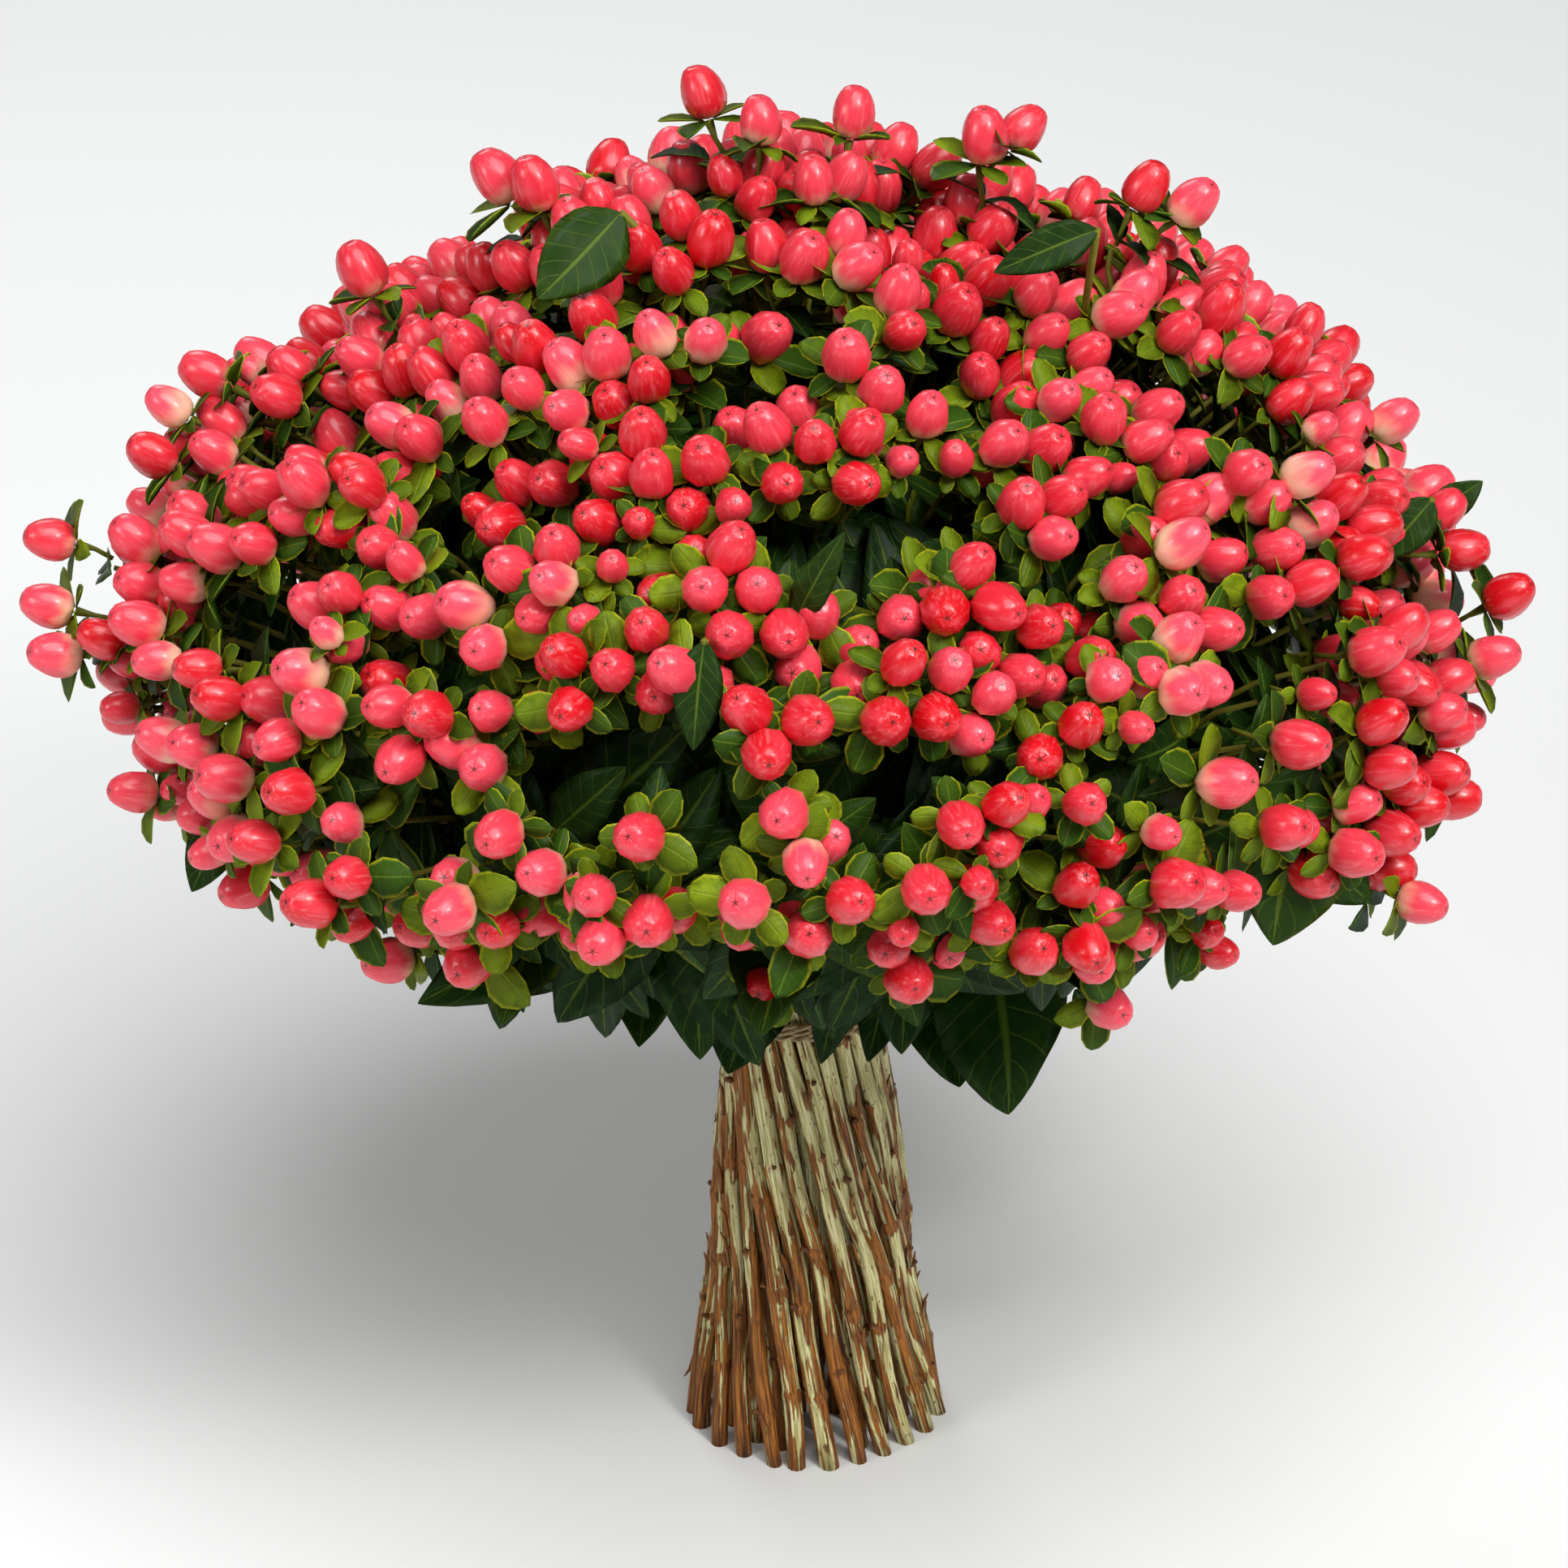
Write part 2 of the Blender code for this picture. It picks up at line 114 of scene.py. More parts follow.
world = bpy.data.worlds.new("studio")
world.use_nodes = True
tree = world.node_tree
room = tree.nodes["Background"]
room.inputs["Color"].default_value = (*WALL_COLOUR, 1)
room.inputs["Strength"].default_value = AMBIENT
wall = tree.nodes.new("ShaderNodeBackground")
wall.inputs["Color"].default_value = (*WALL_COLOUR, 1)
either = tree.nodes.new("ShaderNodeMixShader")
tree.links.new(tree.nodes.new("ShaderNodeLightPath").outputs["Is Camera Ray"], either.inputs[0])
tree.links.new(room.outputs[0], either.inputs[1])
tree.links.new(wall.outputs[0], either.inputs[2])
tree.links.new(either.outputs[0], tree.nodes["World Output"].inputs["Surface"])
bpy.context.scene.world = world
bpy.context.scene.view_settings.view_transform = "Standard"


def new_material(name, roughness):
    """A Principled material, its node tree and its shader."""
    material = bpy.data.materials.new(name)
    material.use_nodes = True
    tree = material.node_tree
    shader = tree.nodes["Principled BSDF"]
    shader.inputs["Roughness"].default_value = roughness
    return material, tree, shader


def add_node(tree, kind, **values):
    """A shader node. Keywords set its own properties, or its inputs by name with spaces as underscores."""
    node = tree.nodes.new(kind)
    for name, value in values.items():
        label = name.replace("_", " ")
        if label in node.inputs:
            node.inputs[label].default_value = value
        else:
            setattr(node, name, value)
    return node


def add_math(tree, operation, *values):
    """A math node fed by numbers or by sockets. Gives its output."""
    node = add_node(tree, "ShaderNodeMath", operation=operation)
    for socket, value in zip(node.inputs, values):
        if isinstance(value, bpy.types.NodeSocket):
            tree.links.new(value, socket)
        else:
            socket.default_value = value
    return node.outputs[0]


def add_range(tree, value, low, high, to_low=0.0, to_high=1.0):
    """Maps a value from one range to another, smoothly and without running past the ends."""
    node = add_node(tree, "ShaderNodeMapRange", interpolation_type="SMOOTHSTEP")
    tree.links.new(value, node.inputs["Value"])
    for label, number in zip(("From Min", "From Max", "To Min", "To Max"), (low, high, to_low, to_high)):
        node.inputs[label].default_value = number
    return node.outputs["Result"]


def add_mix(tree, share, colour_a, colour_b):
    """Mixes two colours, each given as three numbers or as a socket."""
    node = add_node(tree, "ShaderNodeMix", data_type="RGBA")
    tree.links.new(share, node.inputs["Factor"])
    for socket, colour in ((node.inputs[6], colour_a), (node.inputs[7], colour_b)):
        if isinstance(colour, bpy.types.NodeSocket):
            tree.links.new(colour, socket)
        else:
            socket.default_value = (*colour, 1)
    return node.outputs[2]


def add_noise(tree, vector, scale, detail, stretch=(1, 1, 1)):
    """Noise from 0 to 1 on a vector, which may be stretched first."""
    mapping = add_node(tree, "ShaderNodeMapping")
    mapping.inputs["Scale"].default_value = stretch
    tree.links.new(vector, mapping.inputs["Vector"])
    node = add_node(tree, "ShaderNodeTexNoise", Scale=scale, Detail=detail)
    tree.links.new(mapping.outputs[0], node.inputs["Vector"])
    return node.outputs["Fac"]


def add_bump(tree, shader, height, distance, strength=1.0):
    bump = add_node(tree, "ShaderNodeBump", Distance=distance, Strength=strength)
    tree.links.new(height, bump.inputs["Height"])
    tree.links.new(bump.outputs[0], shader.inputs["Normal"])


floor_finish, tree, shader = new_material("pale_floor", 0.6)
grain = add_noise(tree, add_node(tree, "ShaderNodeTexCoord").outputs["Object"], 3, 2)
floor_tone = add_mix(tree, grain, FLOOR_COLOUR, tuple(0.985 * c for c in FLOOR_COLOUR))
tree.links.new(floor_tone, shader.inputs["Base Color"])
mesh = bmesh.new()
bmesh.ops.create_grid(mesh, x_segments=1, y_segments=1, size=FLOOR_SIDE / 2)
floor_mesh = bpy.data.meshes.new("floor")
mesh.to_mesh(floor_mesh)
mesh.free()
floor_mesh.materials.append(floor_finish)
floor = bpy.data.objects.new("floor", floor_mesh)
bpy.context.scene.collection.objects.link(floor)

# Woody stems: 57 fresh hypericum stems, each of pale green wood under rust-brown bark that peels in long strips,
# with swollen joints where leaves were stripped off. They cross in a spiral, as a florist lays them in the hand.

RING_COUNTS = (1, 5, 10, 16, 25)
RING_PITCH = 5.5 * MM
OUTER_RING = len(RING_COUNTS) - 1
STEM_RADIUS = 2.5 * MM
STEM_TOP_RADIUS = 1.5 * MM
WAIST_HEIGHT = 150 * MM
FOOT_SPREAD = 1.68
TWIST_SIGN = -1
HEAD_TWIST = math.radians(25)
FOOT = Vector((9 * MM, -1.5 * MM, 0))
WAIST_LEAN = -4.5 * MM
HEAD_LEAN = -19 * MM
CROWN_RETURN = 22.5 * MM
HEAD_RADIUS = 200 * MM
RIM_HEIGHT = 270 * MM
CROWN_RISE = 141 * MM
RIM_DROP = 42 * MM
CROWN_POWER = 1.68
RIM_POWER = 2.3
LOWEST_ANGLE = math.radians(125)
HUB_HEIGHT = 215 * MM
OUTLINE_STEPS = 240
PLASTIC = (math.sqrt(5) - 1) / 2
SEED = 1234
HUB = Vector((0, HUB_HEIGHT))
BARK, LEAF, BERRY = range(3)


def outline_by_angle(angle):
    """(radius, height) of the head's outline at an angle from the crown: two superellipses that meet at the rim."""
    rise, power = (CROWN_RISE, CROWN_POWER) if angle < math.pi / 2 else (-RIM_DROP, RIM_POWER)
    radius = HEAD_RADIUS * math.sin(angle) ** (2 / power)
    return Vector((radius, RIM_HEIGHT + rise * abs(math.cos(angle)) ** (2 / power)))


def measured_outline():
    """Arc length, swept area and point for even steps of angle."""
    points = [outline_by_angle(LOWEST_ANGLE * i / OUTLINE_STEPS) for i in range(OUTLINE_STEPS + 1)]
    rows = [(0.0, 0.0, points[0])]
    for before, point in zip(points, points[1:]):
        arc, area, _ = rows[-1]
        step = (point - before).length
        rows.append((arc + step, area + step * math.pi * (before.x + point.x), point))
    return rows


OUTLINE = measured_outline()


def outline_at(arc):
    """(radius, height) of the outline at an arc length from the crown."""
    arc = min(max(arc, 0.0), OUTLINE[-1][0])
    for before, after in zip(OUTLINE, OUTLINE[1:]):
        if arc <= after[0]:
            return before[2].lerp(after[2], (arc - before[0]) / (after[0] - before[0]))
    return OUTLINE[-1][2].copy()


def ring_edges():
    """Arc lengths that share the head's surface among the rings by their count of stems."""
    edges = [0.0]
    for ring in range(len(RING_COUNTS)):
        area = OUTLINE[-1][1] * sum(RING_COUNTS[: ring + 1]) / sum(RING_COUNTS)
        edges.append(next((row[0] for row in OUTLINE if row[1] >= area), OUTLINE[-1][0]))
    return edges


RING_EDGES = ring_edges()


def lean_at(height):
    """How far the bunch's axis has moved sideways at a height."""
    if height < WAIST_HEIGHT:
        return WAIST_LEAN * height / WAIST_HEIGHT
    share = (height - WAIST_HEIGHT) / (RIM_HEIGHT + CROWN_RISE - WAIST_HEIGHT)
    return WAIST_LEAN + HEAD_LEAN * share + CROWN_RETURN * share**2


def turned(flat, azimuth):
    """A (radius, height) direction turned to an azimuth."""
    return Vector((flat[0] * math.cos(azimuth), flat[0] * math.sin(azimuth), flat[1]))


def in_space(flat, azimuth):
    """A (radius, height) place turned to an azimuth about the leaning axis."""
    return turned(flat, azimuth) + Vector((lean_at(flat[1]), 0, 0)) + FOOT


def under_outline(arc, azimuth, depth):
    """The point a depth below the outline, straight towards the hub inside the head."""
    flat = outline_at(arc)
    return in_space(flat + (HUB - flat).normalized() * depth, azimuth)


def bezier(handles, t):
    weights = ((1 - t) ** 3, 3 * t * (1 - t) ** 2, 3 * t * t * (1 - t), t**3)
    return sum((w * h for w, h in zip(weights, handles)), handles[0] * 0)


def new_mesh():
    """An empty mesh. Its points keep their place on their own piece, a random tone, and how woody they are."""
    mesh = bmesh.new()
    mesh.verts.layers.float_vector.new("place")
    mesh.verts.layers.float.new("tone")
    mesh.verts.layers.float.new("woody")
    return mesh


class LeafyStem:
    """One stem of the bunch: its place in the spiral and the patch of the head that it fills."""

    def __init__(self, number, ring, azimuth):
        self.number = number
        self.ring = ring
        self.draw = random.Random(SEED + number)
        self.foot_azimuth = azimuth
        self.azimuth = azimuth + TWIST_SIGN * HEAD_TWIST
        self.arc_low, self.arc_high = RING_EDGES[ring : ring + 2]
        self.half_turn = math.pi / RING_COUNTS[ring]
        self.middle_arc = 0.0 if ring == 0 else (self.arc_low + self.arc_high) / 2
        self.mesh = new_mesh()

    def site(self, along, across, margin):
        """Arc length and azimuth of a place in its patch; along and across run from -1 to 1."""
        if self.ring == 0:
            return (self.arc_high - 1.4 * margin) * math.sqrt(abs(along)), math.pi * across
        arc = self.middle_arc + along * ((self.arc_high - self.arc_low) / 2 - margin)
        room = self.half_turn - margin / outline_at(arc).x
        return arc, self.azimuth + across * room

    def wood_at(self, station):
        """The centre of the wood: station 0 is the cut end, 1 the waist and 2 the top end inside the head."""
        pull = math.sqrt(FOOT_SPREAD**2 - 1) / WAIST_HEIGHT
        waist = self.ring * RING_PITCH
        if station <= 1:
            height = WAIST_HEIGHT * station
            below = pull * (height - WAIST_HEIGHT)
            turn = self.foot_azimuth + TWIST_SIGN * math.atan(below)
            return in_space(Vector((waist * math.sqrt(1 + below**2), height)), turn)
        rise = 2 * HEAD_TWIST / (3 * pull)
        out = outline_at(self.middle_arc) - HUB
        end = HUB + out * 0.68
        start = Vector((waist, WAIST_HEIGHT))
        handles = (start, start + Vector((0.04 * rise * self.ring, rise)), end - out.normalized() * 45 * MM, end)
        turn = HEAD_TWIST * (1 - (2 - station) ** 2)
        return in_space(bezier(handles, station - 1), self.foot_azimuth + TWIST_SIGN * turn)


def ring_frames(path, radii):
    """A matrix for each point of a path that turns a unit circle into the round section there."""
    frames = []
    across = Vector((1, 0, 0))
    for i, point in enumerate(path):
        direction = (path[min(i + 1, len(path) - 1)] - path[max(i - 1, 0)]).normalized()
        if abs(across.dot(direction)) > 0.95:
            across = Vector((0, 1, 0))
        across = (across - direction * across.dot(direction)).normalized()
        up = direction.cross(across)
        turn = Matrix((across, up, direction)).transposed().to_4x4()
        frames.append(Matrix.Translation(point) @ turn @ Matrix.Diagonal((radii[i], radii[i], radii[i], 1)))
    return frames


def grow_tube(mesh, path, radii, sides, slot, tone, woody):
    """A closed round stem, extruded ring by ring. Its place attribute is the stem drawn out straight."""
    place = mesh.verts.layers.float_vector["place"]
    tones = mesh.verts.layers.float["tone"]
    woodiness = mesh.verts.layers.float["woody"]
    frames = ring_frames(path, radii)
    ring = bmesh.ops.create_circle(mesh, segments=sides, radius=1, cap_ends=True, matrix=frames[0])["verts"]
    bottom = ring[0].link_faces[0]
    bottom.normal_flip()
    bottom.material_index = slot
    edges = list(bottom.edges)
    length = 0.0
    faces = [bottom]
    for i, matrix in enumerate(frames):
        if i:
            length += (path[i] - path[i - 1]).length
            grown = bmesh.ops.extrude_edge_only(mesh, edges=edges)["geom"]
            ring = [part for part in grown if isinstance(part, bmesh.types.BMVert)]
            faces += [part for part in grown if isinstance(part, bmesh.types.BMFace)]
            bmesh.ops.transform(mesh, matrix=matrix @ frames[i - 1].inverted(), verts=ring)
            edges = [part for part in grown if isinstance(part, bmesh.types.BMEdge)]
            edges = [edge for edge in edges if set(edge.verts) <= set(ring)]
        back = matrix.inverted()
        for vertex in ring:
            local = back @ vertex.co
            vertex[place] = Vector((local.x * radii[i], local.y * radii[i], length))
            vertex[tones] = tone
            vertex[woodiness] = woody[i]
    top = bmesh.ops.contextual_create(mesh, geom=edges)["faces"]
    bmesh.ops.recalc_face_normals(mesh, faces=faces + top)
    for face in faces + top:
        face.material_index = slot
        face.smooth = True
    bottom.smooth = False


def flatten_foot(mesh, path, radius):
    """Cuts the foot of the stem level with the floor."""
    direction = (path[1] - path[0]).normalized()
    for vertex in mesh.verts:
        if (vertex.co - path[0]).length < radius * 1.5 and vertex.co.z < 3 * MM:
            vertex.co -= direction * (vertex.co.z / direction.z)
            vertex.co.z = 0.0


WOOD_STEPS = 18
HEAD_STEPS = 12
JOINT_SPACING = 0.36
JOINT_RINGS = ((-0.022, 1.02, 0.0), (0.0, 1.16, 0.42), (0.012, 1.0, 0.1))
WOOD_BEND = 3.2 * MM
STEM_TAPER = 0.10
SLIVERS_PER_STEM = 4
SLIVER_LENGTH = 9 * MM


def wood_stations(draw):
    """Stations up the stem with how much it swells and how scarred it is there. Joints have close rings."""
    rows = [(i / WOOD_STEPS, 1.0, 0.0) for i in range(WOOD_STEPS + 1)]
    rows += [(1 + (i + 1) / HEAD_STEPS, 1.0, 0.0) for i in range(HEAD_STEPS)]
    joints = []
    joint = draw.uniform(0.15, 1.0) * JOINT_SPACING
    while joint < 1.2:
        joints.append(joint)
        joint += JOINT_SPACING * draw.uniform(0.5, 1.5)
    clear = [row for row in rows if min(abs(row[0] - joint) for joint in joints) > 0.02]
    near = [(joint + shift, swell, scar) for joint in joints for shift, swell, scar in JOINT_RINGS]
    return sorted(clear + near), joints


leafy_stems = []
for ring, count in enumerate(RING_COUNTS):
    for place_in_ring in range(count):
        azimuth = 2 * math.pi * (place_in_ring + PLASTIC * ring) / count
        leafy_stems.append(LeafyStem(len(leafy_stems) + 1, ring, azimuth))

for stem in leafy_stems:
    draw = stem.draw
    thickness = draw.uniform(0.86, 1.14)
    stem.tone = draw.random()
    stations, joints = wood_stations(draw)
    path = []
    radii = []
    for station, swell, scar in stations:
        point = stem.wood_at(station)
        wander = noise.noise_vector(Vector((stem.number * 7.3, 0, point.z * 22)))
        if station < 1:
            point += Vector((wander.x, wander.y, 0)) * WOOD_BEND * min(1, 2 * (1 - station))
        share = min(max(0.0, point.z - WAIST_HEIGHT) / (HUB_HEIGHT - WAIST_HEIGHT), 1.0)
        path.append(point)
        lumps = 1 + 0.10 * noise.noise(Vector((stem.number * 3.1, 5, point.z * 90)))
        swell *= 1 + STEM_TAPER * max(0, 1 - station)
        radii.append((STEM_RADIUS + (STEM_TOP_RADIUS - STEM_RADIUS) * share) * thickness * swell * lumps)
    stem.path = path
    seen = stem.ring >= OUTER_RING - 1
    scars = [scar for _, _, scar in stations]
    grow_tube(stem.mesh, path, radii, 10 if seen else 6, BARK, stem.tone, scars)
    flatten_foot(stem.mesh, path, STEM_RADIUS)
    for joint in joints:
        if not seen or joint > 1:
            continue
        centre = stem.wood_at(joint)
        outward = centre - in_space(Vector((0, centre.z)), 0)
        side = (turned((1, 0), draw.uniform(0, 2 * math.pi)) + outward.normalized()).normalized()
        tip = centre + side * (STEM_RADIUS * 1.2 + draw.uniform(0.5, 1.5) * MM) + Vector((0, 0, 1.4 * MM))
        stub = draw.uniform(1.0, 1.5) * MM
        grow_tube(stem.mesh, [centre, tip], [stub, stub * 0.6], 6, BARK, stem.tone, [1.0, 0.7])
    for _ in range(SLIVERS_PER_STEM if seen else 0):
        station = draw.uniform(0.08, 1.1)
        foot = stem.wood_at(station)
        rise = (stem.wood_at(station + 0.05) - foot).normalized() * draw.choice((1, 1, -1))
        outward = foot - in_space(Vector((0, foot.z)), 0)
        side = (turned((1, 0), draw.uniform(0, 2 * math.pi)) * 0.8 + outward.normalized()).normalized()
        length = SLIVER_LENGTH * draw.uniform(0.6, 1.5)
        foot += side * STEM_RADIUS * 0.8
        steps = ((0, 0.0), (0.4, 0.04), (0.75, 0.12), (1, 0.25))
        sliver = [foot + (rise * along + side * away) * length for along, away in steps]
        grow_tube(stem.mesh, sliver, [0.7 * MM, 0.8 * MM, 0.5 * MM, 0.2 * MM], 4, BARK, stem.tone, [0.5] * 4)

bark_finish, tree, shader = new_material("peeling_bark", 0.6)
place = add_node(tree, "ShaderNodeAttribute", attribute_name="place").outputs["Vector"]
tone = add_node(tree, "ShaderNodeAttribute", attribute_name="tone").outputs["Fac"]
scar = add_node(tree, "ShaderNodeAttribute", attribute_name="woody").outputs["Fac"]
shifted = add_node(tree, "ShaderNodeVectorMath", operation="ADD")
tree.links.new(place, shifted.inputs[0])
tree.links.new(tone, shifted.inputs[1])
wood_place = shifted.outputs[0]
axes = add_node(tree, "ShaderNodeSeparateXYZ")
tree.links.new(place, axes.inputs[0])
strips = add_noise(tree, wood_place, 620, 4, (1, 1, 0.05))
long_streaks = add_noise(tree, wood_place, 260, 4, (1, 1, 0.12))
fine_streaks = add_noise(tree, wood_place, 1500, 3, (1, 1, 0.05))
blotches = add_noise(tree, wood_place, 120, 5, (1, 1, 0.45))
flecks = add_noise(tree, wood_place, 800, 2, (1, 1, 0.4))
young = add_mix(tree, add_range(tree, fine_streaks, 0.35, 0.65), (0.40, 0.34, 0.12), (0.80, 0.76, 0.40))
rust = add_mix(tree, add_range(tree, fine_streaks, 0.3, 0.7), (0.10, 0.026, 0.004), (0.43, 0.155, 0.020))
cover = add_math(tree, "ADD", strips, add_math(tree, "MULTIPLY", tone, 0.12))
cover = add_math(tree, "ADD", cover, add_math(tree, "MULTIPLY", long_streaks, 0.8))
cover = add_math(tree, "ADD", cover, add_math(tree, "MULTIPLY", blotches, 0.4))
cover = add_math(tree, "SUBTRACT", cover, add_math(tree, "MULTIPLY", axes.outputs["Z"], 1.2))
cover = add_math(tree, "ADD", cover, add_math(tree, "MULTIPLY", scar, 0.30))
barked = add_range(tree, cover, 1.05, 1.09)
skin = add_mix(tree, barked, young, rust)
flecked = add_math(tree, "MULTIPLY", add_range(tree, flecks, 0.62, 0.70), 0.8)
skin = add_mix(tree, flecked, skin, (0.14, 0.045, 0.010))
dark = add_math(tree, "MAXIMUM", add_range(tree, strips, 0.60, 0.70), add_range(tree, scar, 0.35, 0.95))
skin = add_mix(tree, add_math(tree, "MULTIPLY", dark, 0.85), skin, (0.040, 0.014, 0.006))
tree.links.new(skin, shader.inputs["Base Color"])
ridges = add_math(tree, "ADD", add_math(tree, "MULTIPLY", barked, 0.8), fine_streaks)
ridges = add_math(tree, "ADD", ridges, add_math(tree, "MULTIPLY", blotches, 0.5))
add_bump(tree, shader, ridges, 0.6 * MM, 1.0)
shader.inputs["Specular IOR Level"].default_value = 0.35

# Twigs: near the top each stem forks into slim green side twigs. Each ends in a fork that carries one to four
# berries on their own short stalks. A few sprigs have grown out past the rest.

CYMES_PER_STEM = 7
BERRY_LENGTH = 16.4 * MM
BERRY_RADIUS = 6.4 * MM
BERRY_SPACING = 13.6 * MM
CYME_MARGIN = 5 * MM
CYME_REACH = 8.4 * MM
STALK_REACH = 19 * MM
TWIG_RADIUS = 1.25 * MM
FORK_RADIUS = 0.8 * MM
OUTWARD_FALL = 0.66
HEM_RISE_AHEAD = 14 * MM
HEM_FALL_ASIDE = 19 * MM
CROWN_DIPS = ((72 * MM, 38 * MM, 8 * MM), (-105 * MM, 32 * MM, 13 * MM))
R2_STEPS = (0.7548776662466927, 0.5698402909980532)
FULL_COUNTS = (2, 2, 3, 3)
FRONT_COUNTS = (1, 1, 2)
FRONT_ZONE = 0.55

# Sprigs that stand out of the head: where each shows in the photo, how far back it is, and its berries
STRAY_SPRIGS = (
    ((68, 667), -30 * MM, 1),
    ((62, 775), -40 * MM, 2),
    ((125, 785), -50 * MM, 1),
    ((172, 690), -40 * MM, 2),
    ((185, 557), -10 * MM, 1),
    ((213, 502), 0 * MM, 1),
    ((250, 457), 10 * MM, 1),
    ((453, 340), 10 * MM, 1),
    ((615, 225), 10 * MM, 1),
    ((657, 218), 0 * MM, 1),
    ((866, 126), 10 * MM, 1),
    ((936, 152), 0 * MM, 1),
    ((1050, 143), 10 * MM, 1),
    ((1235, 160), 10 * MM, 2),
    ((1417, 232), 0 * MM, 1),
    ((1457, 256), 0 * MM, 1),
    ((1718, 516), 0 * MM, 1),
    ((1790, 655), -20 * MM, 2),
    ((1868, 732), -30 * MM, 1),
    ((1850, 806), -40 * MM, 1),
    ((1810, 885), -40 * MM, 1),
    ((1785, 965), -60 * MM, 2),
    ((1725, 1045), -70 * MM, 2),
    ((1744, 1106), -80 * MM, 1),
    ((165, 975), -70 * MM, 1),
    ((245, 1000), -80 * MM, 1),
    ((340, 1052), -90 * MM, 1),
    ((476, 1108), -105 * MM, 1),
    ((480, 1183), -105 * MM, 1),
    ((590, 1110), -120 * MM, 2),
    ((938, 1220), -150 * MM, 1),
    ((1116, 1203), -165 * MM, 1),
    ((1206, 1092), -175 * MM, 1),
    ((1270, 1168), -160 * MM, 1),
    ((1370, 1243), -130 * MM, 1),
    ((1397, 1152), -140 * MM, 1),
    ((1495, 1160), -115 * MM, 2),
)


class Berry:
    """One berry's middle, the twig it grows on and its size."""

    def __init__(self, cyme, middle, size):
        self.cyme = cyme
        self.middle = middle
        self.size = size


class Cyme:
    """A cluster of berries at the end of one twig, which grows from its stem's wood or from another twig's fork."""

    def __init__(self, stem, middle, outward, count, parent=None):
        self.stem = stem
        self.outward = outward
        self.parent = parent
        self.middle = middle
        draw = stem.draw
        side, up = plane_across(outward)
        first = draw.uniform(0, 2 * math.pi)
        self.berries = []
        for k in range(count):
            way = first + 2 * math.pi * k / count + draw.uniform(-0.3, 0.3)
            spread = CYME_REACH * draw.uniform(0.8, 1.1) * (0, 0.8, 1, 1.15)[count - 1]
            spot = middle + spread * (side * math.cos(way) + up * math.sin(way))
            spot += outward * draw.uniform(-3, 3) * MM
            small = 0.75 if draw.random() < 0.08 else 1
            self.berries.append(Berry(self, spot, draw.uniform(0.9, 1.1) * small))


def plane_across(direction):
    """Two unit vectors across a direction."""
    helper = Vector((0, 0, 1)) if abs(direction.z) < 0.9 else Vector((1, 0, 0))
    across = direction.cross(helper).normalized()
    return across, direction.cross(across)


def hem_shift(arc, azimuth):
    """The lower edge of the head hangs lower at the sides than at the front and the back."""
    share = max(0.0, (arc - RING_EDGES[OUTER_RING]) / (RING_EDGES[-1] - RING_EDGES[OUTER_RING]))
    return share * (HEM_RISE_AHEAD * math.sin(azimuth) ** 2 - HEM_FALL_ASIDE * math.cos(azimuth) ** 2)


def seen_at(pixel, depth):
    """The point of the upright plane y = depth that shows at a pixel of the photo."""
    ray = Vector((pixel[0] - PHOTO_SIZE / 2, PHOTO_SIZE / 2 - pixel[1], -FOCAL_PIXELS))
    ray.rotate(camera.rotation_euler)
    return CAMERA_PLACE + ray * ((depth - CAMERA_PLACE.y) / ray.y)


cymes = []
for stem in leafy_stems:
    draw = stem.draw
    start = [draw.random() for _ in R2_STEPS]
    for i in range(CYMES_PER_STEM):
        along, across = (2 * ((s + (i + 1) * step) % 1) - 1 for s, step in zip(start, R2_STEPS))
        arc, turn = stem.site(along, across, CYME_MARGIN)
        depth = BERRY_LENGTH / 2 + draw.uniform(0, 7) * MM + (draw.uniform(8, 18) * MM if i % 3 == 2 else 0)
        middle = under_outline(arc, turn, depth)
        outward = (under_outline(arc, turn, 0) - middle).normalized()
        outward.z *= OUTWARD_FALL
        middle.z += hem_shift(arc, turn)
        for dip_place, dip_width, dip_depth in CROWN_DIPS:
            middle.z -= dip_depth * math.exp(-(((middle.x - dip_place) / dip_width) ** 2))
        sparse = stem.ring == OUTER_RING and math.sin(turn) < -FRONT_ZONE
        count = draw.choice(FRONT_COUNTS if sparse else FULL_COUNTS)
        cymes.append(Cyme(stem, middle, outward.normalized(), count))

head_middle = in_space(HUB, 0)
for pixel, depth, count in STRAY_SPRIGS:
    middle = seen_at(pixel, depth)
    parent = min(cymes[: CYMES_PER_STEM * len(leafy_stems)], key=lambda c: (c.middle - middle).length)
    cymes.append(Cyme(parent.stem, middle, (middle - head_middle).normalized(), count, parent))

# Berries that would run into each other push apart
berries = [berry for cyme in cymes for berry in cyme.berries]
for _ in range(18):
    tree_of_berries = kdtree.KDTree(len(berries))
    for i, berry in enumerate(berries):
        tree_of_berries.insert(berry.middle, i)
    tree_of_berries.balance()
    for i, berry in enumerate(berries):
        push = Vector()
        for place_of_other, k, distance in tree_of_berries.find_range(berry.middle, BERRY_SPACING):
            if k != i and distance > 0:
                push += (berry.middle - place_of_other) / distance * (BERRY_SPACING - distance) * 0.4
        berry.middle = berry.middle + push * (0.3 if berry.cyme.parent else 1)

